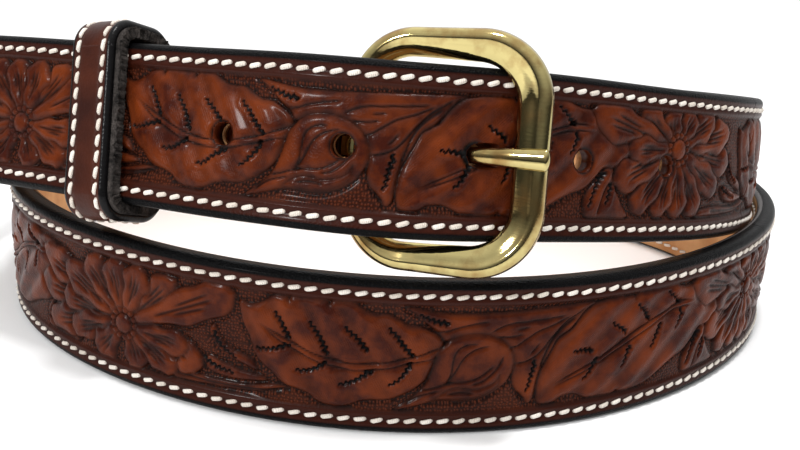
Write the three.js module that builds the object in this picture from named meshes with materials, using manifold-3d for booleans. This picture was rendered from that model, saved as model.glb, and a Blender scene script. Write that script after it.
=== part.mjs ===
// A tooled western belt, buckled and standing on its edge in two turns.
// Millimetres, +Z up, origin on the floor under the middle of the belt.
// The free end crosses the front on the upper tier, passes through a keeper loop and a heel bar
// buckle, runs down inside the turn on the right, goes once round on the floor, climbs outside
// itself at the back and comes in behind the free end, where it folds round the buckle's heel bar.
import * as THREE from "three";
import { mergeVertices } from "three/addons/utils/BufferGeometryUtils.js";
import Module from "manifold-3d";

const wasm = await Module();
wasm.setup();

// Driving dimensions of the leather
const BELT_WIDTH = 32.5;
const TOOLED_THICKNESS = 3;
const LINING_THICKNESS = 1.5;
const CLEARANCE = 0.3;
const EDGE_ROUND = 1.6;
const EDGE_FLAT = 1.2;
const TIP_LENGTH = 24;
const STATION_SPACING = 8;

// Driving dimensions of the two turns, and where the hole in use comes on them
const COIL_HALF_WIDTH = 95;
const COIL_HALF_DEPTH = 73;
const HOLE_IN_USE_TURN = 22.9;

// Driving dimensions of the row of holes, counted from the tip
const HOLE_COUNT = 5;
const HOLE_IN_USE = 3;
const HOLE_SPACING = 24.9;
const HOLE_DIAMETER = 4.5;
const TIP_TO_FIRST_HOLE = 95;

// Driving dimensions of the buckle
const FRAME_LENGTH = 39;
const FRAME_HEIGHT = 45;
const FRAME_THICKNESS = 4.5;
const FRAME_BAR_WIDTH = 6.6;
const FRAME_SIDE_WIDTH = 4.5;
const FRAME_CORNER_RADIUS = 10;
const FRAME_ARCH = 1;
const BAR_CLEARANCE = 0.7;
const HEEL_BAR_TO_HOLE = 24;
const PRONG_THICKNESS = 2.4;
const PRONG_HEIGHT = 2.9;
const PRONG_TIP_HEIGHT = 4.1;
const PRONG_LOOP_WALL = 1.8;
const PRONG_LOOP_WIDTH = 4.5;
const PRONG_PAST_BAR = 3;

// Driving dimensions of the turned-back end and its posts
const CHAPE_WIDTH = 22;
const CHAPE_LENGTH = 46;
const CHAPE_SLOT_WIDTH = 6.5;
const CHAPE_SLOT_LENGTH = 9;
const LINING_STOP = 7;
const POST_DIAMETER = 4;
const POST_HEAD_DIAMETER = 9;
const POST_HEAD_THICKNESS = 1.2;
const POST_COUNT = 2;
const FIRST_POST = 22;
const POST_SPACING = 16;

// Driving dimensions of the keeper loop
const KEEPER_WIDTH = 10.8;
const KEEPER_WALL = 3.9;
const KEEPER_INNER_RADIUS = 2.2;
const KEEPER_BEVEL = 0.9;
const KEEPER_TO_HOLE = 80.6;
const KEEPER_CLEARANCE = 0.4;

// What follows from them
const THICKNESS = TOOLED_THICKNESS + CLEARANCE + LINING_THICKNESS;
const LAYER_STEP = THICKNESS + CLEARANCE;
const TOOLED_FACE = THICKNESS / 2;
const TOOLED_BACK = TOOLED_FACE - TOOLED_THICKNESS;
const LINING_FRONT = TOOLED_BACK - CLEARANCE;
const LINING_FACE = -THICKNESS / 2;
const HEEL_BAR_RADIUS = FRAME_THICKNESS / 2;
const FOLD_RADIUS = HEEL_BAR_RADIUS + CLEARANCE - TOOLED_BACK;

// The plan of the floor turn is an oval that swells and draws in a little as it goes round.
// Each row gives the share of its half sizes for that many waves round the turn.
const OVAL_WAVES = [
  { waves: 1, cosine: 0.014, sine: 0.287 },
  { waves: 2, cosine: -0.029, sine: 0.028 },
  { waves: 3, cosine: 0.04, sine: -0.025 },
  { waves: 4, cosine: -0.011, sine: 0.023 },
];

// The strap's route from the tip to the buckle. turn: degrees round the oval from its front.
// out: strap layers outside the oval. under: layers inside that line, square to the strap.
// rise: height of the strap's middle in strap widths. lean: degrees its top leans inward.
const FREE_END = [
  { turn: -125, out: 20.4, under: 0, rise: 1.25, lean: 17 },
  { turn: -104, out: 14.2, under: 0, rise: 1.342, lean: 17 },
  { turn: -86, out: 8.91, under: 0, rise: 1.431, lean: 17 },
  { turn: -70, out: 4.47, under: 0, rise: 1.514, lean: 17 },
  { turn: -56, out: 1.73, under: 0, rise: 1.574, lean: 17 },
];
const BUCKLED_STRETCH = [
  { turn: -43, out: 0.3, under: 0, rise: 1.622, lean: 16.9 },
  { turn: -31, out: -0.51, under: 0, rise: 1.656, lean: 17.5 },
  { turn: -19, out: -0.95, under: 0, rise: 1.702, lean: 17.8 },
  { turn: -7, out: -0.83, under: 0, rise: 1.744, lean: 16.9 },
  { turn: 5, out: -0.02, under: 0, rise: 1.804, lean: 13.8 },
  { turn: 17, out: 0.51, under: 0, rise: 1.81, lean: 12.5 },
  { turn: 30, out: -0.53, under: 0, rise: 1.755, lean: 11 },
];
const ROUND_THE_TURNS = [
  { turn: 44, out: -1.29, under: 0, rise: 1.64, lean: 10.1 },
  { turn: 60, out: -1.1, under: 0, rise: 1.52, lean: 8 },
  { turn: 78, out: -0.95, under: 0, rise: 1.37, lean: 4 },
  { turn: 100, out: -1, under: 0, rise: 1.19, lean: 2.5 },
  { turn: 125, out: -1, under: 0, rise: 1.04, lean: 2 },
  { turn: 150, out: -0.85, under: 0, rise: 0.9, lean: 1 },
  { turn: 178, out: -0.6, under: 0, rise: 0.75, lean: 0.5 },
  { turn: 206, out: -0.3, under: 0, rise: 0.62, lean: 0 },
  { turn: 232, out: 0, under: 0, rise: 0.5, lean: 0 },
  { turn: 258, out: 0, under: 0, rise: 0.5, lean: 0 },
  { turn: 284, out: 0, under: 0, rise: 0.5, lean: 0 },
  { turn: 310, out: 0, under: 0, rise: 0.5, lean: 0 },
  { turn: 335, out: 0, under: 0, rise: 0.501, lean: 1.5 },
  { turn: 360, out: 0, under: 0, rise: 0.503, lean: 3 },
  { turn: 385, out: 0, under: 0, rise: 0.503, lean: 2.5 },
  { turn: 410, out: 0.1, under: 0, rise: 0.501, lean: 1 },
  { turn: 435, out: 0.3, under: 0, rise: 0.5, lean: 0 },
  { turn: 460, out: 0.4, under: 0, rise: 0.5, lean: 0 },
  { turn: 485, out: 0.4, under: 0, rise: 0.5, lean: 0 },
  { turn: 512, out: 0.45, under: 0, rise: 0.62, lean: 0 },
  { turn: 540, out: 0.65, under: 0, rise: 0.79, lean: 1 },
  { turn: 570, out: 1.1, under: 0, rise: 0.97, lean: 3 },
  { turn: 598, out: 1.35, under: 0, rise: 1.13, lean: 7 },
  { turn: 620, out: 1.95, under: 0.5, rise: 1.26, lean: 11 },
  { turn: 638, out: 2.5, under: 1, rise: 1.38, lean: 14 },
  { turn: 652, out: 2.2, under: 1, rise: 1.48, lean: 16 },
  { turn: 664, out: 1.5, under: 1, rise: 1.574, lean: 17 },
];
const TWO_TURNS = 720;
const BEHIND_THE_FREE_END = BUCKLED_STRETCH.map((row) => ({
  ...row,
  turn: row.turn + TWO_TURNS,
  under: 1,
}));
const ROUTE = [...FREE_END, ...BUCKLED_STRETCH, ...ROUND_THE_TURNS, ...BEHIND_THE_FREE_END];
const BEHIND_ROW_SHIFT = BUCKLED_STRETCH.length + ROUND_THE_TURNS.length;

// Any column between its rows: a uniform cubic B-spline, which never overshoots them.
function blendRows(place, column) {
  const row = Math.min(Math.max(Math.floor(place), 1), ROUTE.length - 3);
  const part = place - row;
  const weights = [
    (1 - part) ** 3,
    3 * part ** 3 - 6 * part ** 2 + 4,
    -3 * part ** 3 + 3 * part ** 2 + 3 * part + 1,
    part ** 3,
  ];
  return weights.reduce((sum, weight, k) => sum + (weight / 6) * ROUTE[row - 1 + k][column], 0);
}

function ovalPoint(turn) {
  const angle = THREE.MathUtils.degToRad(turn);
  const swell = OVAL_WAVES.reduce(
    (sum, row) => sum + row.cosine * Math.cos(row.waves * angle) + row.sine * Math.sin(row.waves * angle),
    1,
  );
  return new THREE.Vector3(
    COIL_HALF_WIDTH * Math.sin(angle) * swell,
    -COIL_HALF_DEPTH * Math.cos(angle) * swell,
    0,
  );
}

const UP = new THREE.Vector3(0, 0, 1);
const SMALL_TURN = 0.01;

// The route before its layers are counted in: a point beside the oval at its height.
function routeLine(place) {
  const turn = blendRows(place, "turn");
  const point = ovalPoint(turn);
  const outward = ovalPoint(turn + SMALL_TURN).sub(ovalPoint(turn - SMALL_TURN)).cross(UP).normalize();
  point.addScaledVector(outward, blendRows(place, "out") * LAYER_STEP);
  point.z = blendRows(place, "rise") * BELT_WIDTH;
  return point;
}

// One cross-section of the strap: its middle, the way it runs, its face and its upward edge.
function makeStation(middle, along, leanDegrees) {
  const lean = THREE.MathUtils.degToRad(leanDegrees);
  const level = along.clone().cross(UP).normalize();
  const upright = level.clone().cross(along).normalize();
  const face = level.clone().multiplyScalar(Math.cos(lean)).addScaledVector(upright, Math.sin(lean));
  const across = upright.clone().multiplyScalar(Math.cos(lean)).addScaledVector(level, -Math.sin(lean));
  return { middle, along, face, across };
}

function routeStation(place) {
  const along = routeLine(place + SMALL_TURN).sub(routeLine(place - SMALL_TURN)).normalize();
  const station = makeStation(routeLine(place), along, blendRows(place, "lean"));
  station.middle.addScaledVector(station.face, -blendRows(place, "under") * LAYER_STEP);
  return station;
}

// Lengths along the strap's tooled face, so that holes and keeper are placed by measure
function facePoint(place) {
  const station = routeStation(place);
  return station.middle.addScaledVector(station.face, TOOLED_FACE);
}

const STEPS_PER_ROW = 24;
const FIRST_PLACE = 1;
const LAST_PLACE = ROUTE.length - 2 - SMALL_TURN;
const lengthTable = [{ place: FIRST_PLACE, length: 0, turn: blendRows(FIRST_PLACE, "turn") }];
for (let step = 1; FIRST_PLACE + step / STEPS_PER_ROW <= LAST_PLACE; step += 1) {
  const place = FIRST_PLACE + step / STEPS_PER_ROW;
  const last = lengthTable[lengthTable.length - 1];
  const gap = facePoint(place).distanceTo(facePoint(last.place));
  lengthTable.push({ place, length: last.length + gap, turn: blendRows(place, "turn") });
}

function interpolateTable(value, from, to) {
  let index = lengthTable.findIndex((row) => row[from] > value);
  index = index < 0 ? lengthTable.length - 1 : Math.max(index, 1);
  const low = lengthTable[index - 1];
  const high = lengthTable[index];
  return low[to] + ((value - low[from]) / (high[from] - low[from])) * (high[to] - low[to]);
}

// A free end longer than the table goes straight on.
function stationAt(length) {
  if (length >= 0) {
    return routeStation(interpolateTable(length, "length", "place"));
  }
  const start = routeStation(FIRST_PLACE);
  return { ...start, middle: start.middle.clone().addScaledVector(start.along, length) };
}

const holeInUseAt = interpolateTable(HOLE_IN_USE_TURN, "turn", "length");
const firstHoleAt = holeInUseAt - (HOLE_IN_USE - 1) * HOLE_SPACING;
const tipAt = firstHoleAt - TIP_TO_FIRST_HOLE;
const heelBarAt = holeInUseAt - HEEL_BAR_TO_HOLE;
const keeperAt = holeInUseAt - KEEPER_TO_HOLE;
const heelBarPlace = interpolateTable(heelBarAt, "length", "place") + BEHIND_ROW_SHIFT;
const behindHeelBarAt = interpolateTable(heelBarPlace, "place", "length");

// A point of a station, by its distance out of the face and up the width
function pointOf(station, out, up) {
  return station.middle.clone().addScaledVector(station.face, out).addScaledVector(station.across, up);
}

// Closed meshes from rings of points, and cuts
function closedGeometry(positions, triangles) {
  const geometry = new THREE.BufferGeometry();
  geometry.setAttribute("position", new THREE.Float32BufferAttribute(positions, 3));
  geometry.setIndex(triangles);
  return geometry;
}

function signedVolume(rings, triangles) {
  const points = rings.flat();
  let volume = 0;
  for (let k = 0; k < triangles.length; k += 3) {
    const [a, b, c] = [points[triangles[k]], points[triangles[k + 1]], points[triangles[k + 2]]];
    volume += a.dot(b.clone().cross(c)) / 6;
  }
  return volume;
}

function loft(rings, endless) {
  const count = rings[0].length;
  const triangles = [];
  const spans = endless ? rings.length : rings.length - 1;
  for (let ring = 0; ring < spans; ring += 1) {
    const next = (ring + 1) % rings.length;
    for (let k = 0; k < count; k += 1) {
      const side = (k + 1) % count;
      const corners = [ring * count + k, ring * count + side, next * count + side, next * count + k];
      triangles.push(corners[0], corners[1], corners[2], corners[0], corners[2], corners[3]);
    }
  }
  if (!endless) {
    const last = (rings.length - 1) * count;
    for (let k = 1; k < count - 1; k += 1) {
      triangles.push(0, k + 1, k);
      triangles.push(last, last + k, last + k + 1);
    }
  }
  if (signedVolume(rings, triangles) < 0) {
    triangles.reverse();
  }
  return closedGeometry(rings.flat().flatMap((point) => point.toArray()), triangles);
}

const SAME_POINT = 1e-5;

function toSolid(geometry) {
  const bare = geometry.clone();
  bare.deleteAttribute("normal");
  bare.deleteAttribute("uv");
  const merged = mergeVertices(bare, SAME_POINT);
  const mesh = new wasm.Mesh({
    numProp: 3,
    vertProperties: new Float32Array(merged.attributes.position.array),
    triVerts: new Uint32Array(merged.index.array),
  });
  return new wasm.Manifold(mesh);
}

function toGeometry(solid) {
  const mesh = solid.getMesh();
  return closedGeometry(Array.from(mesh.vertProperties), Array.from(mesh.triVerts));
}

function cut(geometry, tools) {
  return toGeometry(tools.reduce((solid, tool) => solid.subtract(toSolid(tool)), toSolid(geometry)));
}

// A round rod between two points, with one way square to its axis given
function rod(from, to, square, radius, sides) {
  const other = to.clone().sub(from).normalize().cross(square).normalize();
  const ring = (centre) =>
    Array.from({ length: sides }, (_, k) => {
      const angle = (2 * Math.PI * k) / sides;
      return centre
        .clone()
        .addScaledVector(square, radius * Math.cos(angle))
        .addScaledVector(other, radius * Math.sin(angle));
    });
  return loft([ring(from), ring(to)], false);
}

// The leather: half its width along the route, and the sections of its two layers
function halfWidthAt(length) {
  const fromTip = Math.min(Math.max((length - tipAt) / TIP_LENGTH, 0), 1);
  const toBar = Math.min(Math.max((behindHeelBarAt - length - LINING_STOP) / LINING_STOP, 0), 1);
  const tip = Math.sqrt(1 - (1 - fromTip) ** 2);
  return Math.min((tip * BELT_WIDTH) / 2, (CHAPE_WIDTH + toBar * (BELT_WIDTH - CHAPE_WIDTH)) / 2);
}

const ROUND_STEP = Math.SQRT1_2;

function tooledSection(station, half) {
  const round = Math.min(EDGE_ROUND, half / 2);
  const depth = Math.min(TOOLED_THICKNESS - EDGE_FLAT, round);
  const corner = [
    { out: TOOLED_FACE, up: half - round },
    { out: TOOLED_FACE - depth * (1 - ROUND_STEP), up: half - round * (1 - ROUND_STEP) },
    { out: TOOLED_FACE - depth, up: half },
    { out: TOOLED_BACK, up: half },
  ];
  return mirroredRing(station, corner);
}

function liningSection(station, half) {
  const round = Math.min(LINING_THICKNESS, half / 2);
  const corner = [
    { out: LINING_FACE, up: half - round },
    { out: (LINING_FACE + LINING_FRONT) / 2, up: half - round * (1 - ROUND_STEP) },
    { out: LINING_FRONT, up: half },
  ];
  return mirroredRing(station, corner);
}

function mirroredRing(station, corner) {
  const upper = corner.map((row) => pointOf(station, row.out, row.up));
  const lower = corner.map((row) => pointOf(station, row.out, -row.up)).reverse();
  return [...upper, ...lower];
}

const TIP_SHARES = [0.006, 0.05, 0.14, 0.28, 0.46, 0.7, 1];

function strapLengths(end) {
  const lengths = TIP_SHARES.map((share) => tipAt + share * TIP_LENGTH);
  const start = lengths[lengths.length - 1];
  const steps = Math.round((end - 2 * LINING_STOP - start) / STATION_SPACING);
  for (let step = 1; step <= steps; step += 1) {
    lengths.push(start + ((end - 2 * LINING_STOP - start) * step) / steps);
  }
  return lengths;
}

// The turned-back end: half a turn round the heel bar, then back along the inside of the strap
const FOLD_STEPS = 10;
const RETURN_STEPS = 10;
const RETURN_CLOSE = LINING_FACE - CLEARANCE + TOOLED_BACK;
const RETURN_FAR = -2 * FOLD_RADIUS;
const RETURN_EASE = 13;
const CHAPE_CORNER = 5;

function foldStations() {
  const start = stationAt(behindHeelBarAt);
  const centre = pointOf(start, -FOLD_RADIUS, 0);
  return Array.from({ length: FOLD_STEPS + 1 }, (_, step) => {
    const angle = (Math.PI * step) / FOLD_STEPS;
    const face = start.face.clone().multiplyScalar(Math.cos(angle)).addScaledVector(start.along, Math.sin(angle));
    const middle = centre.clone().addScaledVector(face, FOLD_RADIUS);
    return { middle, face, across: start.across };
  });
}

function returnOffset(back) {
  const share = THREE.MathUtils.smoothstep(back, 0, RETURN_EASE);
  return RETURN_FAR + share * (RETURN_CLOSE - RETURN_FAR);
}

function returnRings() {
  return Array.from({ length: RETURN_STEPS }, (_, step) => {
    const back = (CHAPE_LENGTH * (step + 1)) / RETURN_STEPS;
    const station = stationAt(behindHeelBarAt - back);
    const turned = {
      middle: pointOf(station, returnOffset(back), 0),
      face: station.face.clone().negate(),
      across: station.across,
    };
    const corner = back > CHAPE_LENGTH - CHAPE_CORNER ? CHAPE_CORNER : 0;
    return tooledSection(turned, CHAPE_WIDTH / 2 - corner / 2);
  });
}

const HOLE_SIDES = 16;
const PASSAGE_SLANT = Math.PI / 4;
const PASSAGE_RADIUS = Math.hypot(PRONG_THICKNESS, PRONG_HEIGHT) / 2 + 2 * CLEARANCE;

// The hole in use slants with the prong; the others go straight through.
function holeTool(index) {
  const inUse = index === HOLE_IN_USE - 1;
  const station = stationAt(firstHoleAt + index * HOLE_SPACING);
  const axis = inUse ? passageAxis(station) : station.face;
  const reach = THICKNESS * (inUse ? 1 / Math.sin(PASSAGE_SLANT) : 1);
  const from = station.middle.clone().addScaledVector(axis, -reach);
  const to = station.middle.clone().addScaledVector(axis, reach);
  return rod(from, to, station.across, inUse ? PASSAGE_RADIUS : HOLE_DIAMETER / 2, HOLE_SIDES);
}

function passageAxis(station) {
  return station.along
    .clone()
    .multiplyScalar(Math.cos(PASSAGE_SLANT))
    .addScaledVector(station.face, Math.sin(PASSAGE_SLANT));
}

const holeTools = Array.from({ length: HOLE_COUNT }, (_, index) => holeTool(index));

function postStation(index) {
  return stationAt(behindHeelBarAt - FIRST_POST - index * POST_SPACING);
}

const POST_HEAD_SEAT = RETURN_CLOSE - TOOLED_FACE - CLEARANCE;
const POST_END = TOOLED_FACE - TOOLED_THICKNESS / 3;

function postHoleTool(index) {
  const station = postStation(index);
  const radius = POST_DIAMETER / 2 + CLEARANCE;
  const from = pointOf(station, POST_HEAD_SEAT - CLEARANCE, 0);
  return rod(from, pointOf(station, POST_END + CLEARANCE, 0), station.across, radius, HOLE_SIDES);
}

const postHoleTools = Array.from({ length: POST_COUNT }, (_, index) => postHoleTool(index));

function slotTool() {
  const bar = stationAt(behindHeelBarAt);
  const ring = (shift) => {
    const end = { ...bar, middle: bar.middle.clone().addScaledVector(bar.along, shift) };
    const front = TOOLED_FACE + CLEARANCE;
    const back = RETURN_FAR - THICKNESS;
    return [
      pointOf(end, front, CHAPE_SLOT_WIDTH / 2),
      pointOf(end, back, CHAPE_SLOT_WIDTH / 2),
      pointOf(end, back, -CHAPE_SLOT_WIDTH / 2),
      pointOf(end, front, -CHAPE_SLOT_WIDTH / 2),
    ];
  };
  return loft([ring(-CHAPE_SLOT_LENGTH), ring(CHAPE_SLOT_LENGTH)], false);
}

function strapGeometry() {
  const flat = strapLengths(behindHeelBarAt).map((length) => ({ length, half: halfWidthAt(length) }));
  flat.push({ length: behindHeelBarAt - LINING_STOP, half: CHAPE_WIDTH / 2 });
  const rings = [
    ...flat.map((row) => tooledSection(stationAt(row.length), row.half)),
    ...foldStations().map((station) => tooledSection(station, CHAPE_WIDTH / 2)),
    ...returnRings(),
  ];
  return cut(loft(rings, false), [...holeTools, ...postHoleTools, slotTool()]);
}

function liningGeometry() {
  const lengths = strapLengths(behindHeelBarAt);
  const rings = lengths.map((length) => liningSection(stationAt(length), halfWidthAt(length)));
  return cut(loft(rings, false), [...holeTools, ...postHoleTools]);
}

// The keeper: a thick leather loop round the free end and the layer behind it
const CORNER_STEPS = 6;

// Points and outward ways round a rectangle with round corners, centred on nothing
function roundedLoop(halfOut, halfUp, outRadius) {
  const corners = [
    { out: 1, up: 1, start: 0 },
    { out: -1, up: 1, start: Math.PI / 2 },
    { out: -1, up: -1, start: Math.PI },
    { out: 1, up: -1, start: 1.5 * Math.PI },
  ];
  return corners.flatMap((corner) =>
    Array.from({ length: CORNER_STEPS + 1 }, (_, step) => {
      const angle = corner.start + (Math.PI / 2) * (step / CORNER_STEPS);
      const [wayOut, wayUp] = [Math.cos(angle), Math.sin(angle)];
      return {
        out: corner.out * (halfOut - outRadius) + outRadius * wayOut,
        up: corner.up * (halfUp - outRadius) + outRadius * wayUp,
        wayOut,
        wayUp,
      };
    }),
  );
}

function keeperGeometry() {
  const station = stationAt(keeperAt);
  const halfOut = (LAYER_STEP + THICKNESS) / 2 + KEEPER_CLEARANCE;
  const halfUp = BELT_WIDTH / 2 + KEEPER_CLEARANCE;
  const half = KEEPER_WIDTH / 2;
  const section = [
    { along: -half, wall: 0 },
    { along: half, wall: 0 },
    { along: half, wall: KEEPER_WALL - KEEPER_BEVEL },
    { along: half - KEEPER_BEVEL, wall: KEEPER_WALL },
    { along: KEEPER_BEVEL - half, wall: KEEPER_WALL },
    { along: -half, wall: KEEPER_WALL - KEEPER_BEVEL },
  ];
  const rings = roundedLoop(halfOut, halfUp, KEEPER_INNER_RADIUS).map((spot) =>
    section.map((row) =>
      pointOf(
        station,
        spot.out - LAYER_STEP / 2 + row.wall * spot.wayOut,
        spot.up + row.wall * spot.wayUp,
      ).addScaledVector(station.along, row.along),
    ),
  );
  return loft(rings, true);
}

// The buckle: its heel bar lies in the fold and its other bar on the free end
const BAR_SECTION = [
  { width: 1, depth: -0.25 },
  { width: 1, depth: 0.2 },
  { width: 0.72, depth: 0.75 },
  { width: 0.25, depth: 1 },
  { width: -0.35, depth: 0.9 },
  { width: -0.8, depth: 0.5 },
  { width: -1, depth: 0 },
  { width: -0.8, depth: -0.6 },
  { width: -0.4, depth: -1 },
  { width: 0.6, depth: -1 },
];

function barReach(axes, direction, halfWidth, halfDepth) {
  const reaches = BAR_SECTION.map(
    (row) =>
      -row.width * halfWidth * axes.long.dot(direction) - row.depth * halfDepth * axes.front.dot(direction),
  );
  return Math.max(...reaches);
}

const SEAT_PASSES = 12;

// The far bar is laid on the free end where the frame's length lets it reach.
function frameAxes() {
  const heelStation = stationAt(behindHeelBarAt);
  const heel = pointOf(heelStation, -FOLD_RADIUS, 0);
  const span = FRAME_LENGTH - HEEL_BAR_RADIUS - FRAME_BAR_WIDTH / 2;
  let length = heelBarAt + span;
  let lift = TOOLED_FACE + BAR_CLEARANCE + FRAME_THICKNESS / 2;
  let axes = null;
  for (let pass = 0; pass < SEAT_PASSES; pass += 1) {
    const station = stationAt(length);
    const far = pointOf(station, lift, 0);
    const long = far.clone().sub(heel).normalize();
    const front = long.clone().cross(heelStation.across).normalize();
    const up = front.clone().cross(long).normalize();
    axes = { heel, long, front, up, span };
    length += span - far.distanceTo(heel);
    lift = TOOLED_FACE + BAR_CLEARANCE + barReach(axes, station.face, FRAME_BAR_WIDTH / 2, FRAME_THICKNESS / 2);
  }
  return axes;
}

const frame = frameAxes();

function framePoint(long, up, front) {
  return frame.heel
    .clone()
    .addScaledVector(frame.long, long)
    .addScaledVector(frame.up, up)
    .addScaledVector(frame.front, front);
}

function archAt(long) {
  const share = Math.min(Math.max(long / frame.span, 0), 1);
  return FRAME_ARCH * Math.sin(Math.PI * share);
}

function frameGeometry() {
  const radius = FRAME_CORNER_RADIUS - FRAME_SIDE_WIDTH / 2;
  const loop = roundedLoop(frame.span / 2, (FRAME_HEIGHT - FRAME_SIDE_WIDTH) / 2, radius);
  const rings = loop.map((spot) => {
    const far = Math.max(spot.wayOut, 0) ** 2;
    const round = Math.max(-spot.wayOut, 0) ** 2;
    const halfWidth = (FRAME_SIDE_WIDTH + far * (FRAME_BAR_WIDTH - FRAME_SIDE_WIDTH)) / 2;
    const long = spot.out + frame.span / 2;
    return BAR_SECTION.map((row) => {
      const scale = 1 + round * (1 / Math.hypot(row.width, row.depth) - 1);
      return framePoint(
        long + row.width * scale * halfWidth * spot.wayOut,
        spot.up + row.width * scale * halfWidth * spot.wayUp,
        archAt(long) + (row.depth * scale * FRAME_THICKNESS) / 2,
      );
    });
  });
  return loft(rings, true);
}

// The prong: a loop round the heel bar and a bent shank through the hole and over the far bar
const LOOP_STEPS = 16;
const PRONG_STEPS = 14;
const PRONG_RISE_LENGTH = 1.5 * THICKNESS;

function prongLine() {
  const station = stationAt(holeInUseAt);
  const axis = passageAxis(station);
  const half = (TOOLED_FACE + CLEARANCE) / Math.sin(PASSAGE_SLANT);
  const shankOut = HEEL_BAR_RADIUS + CLEARANCE + PRONG_THICKNESS / 2;
  const before = stationAt(holeInUseAt - PRONG_RISE_LENGTH);
  const behind = -(TOOLED_FACE + CLEARANCE + PRONG_THICKNESS / 2);
  const overBar = FRAME_THICKNESS / 2 + BAR_CLEARANCE + PRONG_THICKNESS / 2;
  const beforeBar = FRAME_THICKNESS / 4 + BAR_CLEARANCE + PRONG_THICKNESS / 2;
  const heelStation = stationAt(behindHeelBarAt);
  return new THREE.CatmullRomCurve3([
    frame.heel.clone().addScaledVector(heelStation.face, shankOut),
    pointOf(before, behind - CLEARANCE, 0),
    station.middle.clone().addScaledVector(axis, -half),
    station.middle.clone().addScaledVector(axis, half),
    framePoint(frame.span - FRAME_BAR_WIDTH / 2, 0, beforeBar),
    framePoint(frame.span + PRONG_PAST_BAR, 0, overBar),
  ]);
}

function prongGeometry() {
  const line = prongLine();
  const heelStation = stationAt(behindHeelBarAt);
  const shank = Array.from({ length: PRONG_STEPS + 1 }, (_, step) => {
    const share = step / PRONG_STEPS;
    const centre = line.getPointAt(share);
    const front = line.getTangentAt(share).cross(frame.up).normalize();
    const up = (PRONG_HEIGHT + share ** 2 * (PRONG_TIP_HEIGHT - PRONG_HEIGHT)) / 2;
    return bevelledRing(centre, front, frame.up, PRONG_THICKNESS / 2, up);
  });
  const middle = HEEL_BAR_RADIUS + CLEARANCE + PRONG_LOOP_WALL / 2;
  const loop = Array.from({ length: LOOP_STEPS }, (_, step) => {
    const angle = (2 * Math.PI * step) / LOOP_STEPS;
    const way = heelStation.face
      .clone()
      .multiplyScalar(Math.cos(angle))
      .addScaledVector(heelStation.along, Math.sin(angle));
    const centre = frame.heel.clone().addScaledVector(way, middle);
    return bevelledRing(centre, way, heelStation.across, PRONG_LOOP_WALL / 2, PRONG_LOOP_WIDTH / 2);
  });
  return toGeometry(toSolid(loft(shank, false)).add(toSolid(loft(loop, true))));
}

const BEVEL_SHARE = 0.35;

function bevelledRing(centre, front, up, halfFront, halfUp) {
  const bevel = BEVEL_SHARE * Math.min(halfFront, halfUp);
  const spots = [
    [halfFront, halfUp - bevel],
    [halfFront - bevel, halfUp],
    [bevel - halfFront, halfUp],
    [-halfFront, halfUp - bevel],
    [-halfFront, bevel - halfUp],
    [bevel - halfFront, -halfUp],
    [halfFront - bevel, -halfUp],
    [halfFront, bevel - halfUp],
  ];
  return spots.map(([x, y]) => centre.clone().addScaledVector(front, x).addScaledVector(up, y));
}

function postGeometry(index) {
  const station = postStation(index);
  const profile = [
    new THREE.Vector2(0, POST_HEAD_SEAT - POST_HEAD_THICKNESS),
    new THREE.Vector2(POST_HEAD_DIAMETER / 2 - POST_HEAD_THICKNESS / 2, POST_HEAD_SEAT - POST_HEAD_THICKNESS),
    new THREE.Vector2(POST_HEAD_DIAMETER / 2, POST_HEAD_SEAT - POST_HEAD_THICKNESS / 2),
    new THREE.Vector2(POST_HEAD_DIAMETER / 2, POST_HEAD_SEAT),
    new THREE.Vector2(POST_DIAMETER / 2, POST_HEAD_SEAT),
    new THREE.Vector2(POST_DIAMETER / 2, POST_END),
    new THREE.Vector2(0, POST_END),
  ];
  const geometry = new THREE.LatheGeometry(profile, HOLE_SIDES);
  const axes = new THREE.Matrix4().makeBasis(
    station.along.clone(),
    station.face.clone(),
    station.along.clone().cross(station.face),
  );
  geometry.applyMatrix4(axes.setPosition(station.middle));
  return toGeometry(toSolid(geometry));
}

const leather = new THREE.MeshStandardMaterial({ color: 0x6b3018, roughness: 0.42, metalness: 0 });
const naturalLeather = new THREE.MeshStandardMaterial({ color: 0xb07a4a, roughness: 0.7, metalness: 0 });
const darkLeather = new THREE.MeshStandardMaterial({ color: 0x45231a, roughness: 0.5, metalness: 0 });
const brass = new THREE.MeshStandardMaterial({ color: 0xb9a24f, roughness: 0.25, metalness: 1 });

const belt = new THREE.Group();

function addPiece(name, geometry, material) {
  const mesh = new THREE.Mesh(geometry, material);
  mesh.name = name;
  belt.add(mesh);
}

addPiece("strap", strapGeometry(), leather);
addPiece("lining", liningGeometry(), naturalLeather);
addPiece("keeper", keeperGeometry(), darkLeather);
addPiece("buckle_frame", frameGeometry(), brass);
addPiece("buckle_prong", prongGeometry(), brass);
for (let index = 0; index < POST_COUNT; index += 1) {
  addPiece(`chape_post_${index + 1}`, postGeometry(index), brass);
}

// The origin goes under the middle of the belt, on the floor that the lower turn stands on.
const bounds = new THREE.Box3().setFromObject(belt);
const centre = bounds.getCenter(new THREE.Vector3());
belt.position.set(-centre.x, -centre.y, -bounds.min.z);
belt.updateMatrixWorld(true);

export default belt;
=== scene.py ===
# %% [markdown]
# A tooled western belt
#
# The belt is buckled and stands on its edge in two turns. Its face is carved and stamped by hand with
# a traditional pattern of flowers and leaves, dyed, and finished with dark edges and white thread.
# The solids already give the belt's route and its pieces. This lesson makes the surfaces that are
# seen: the carving as real relief, the thread as real stitches, the leather, the suede and the brass.
# Lengths are in millimetres until a mesh is made, and MM turns them into Blender's metres.

# %% Load the frame
import math

import bpy
import numpy as np
from mathutils import Matrix, Vector


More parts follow.
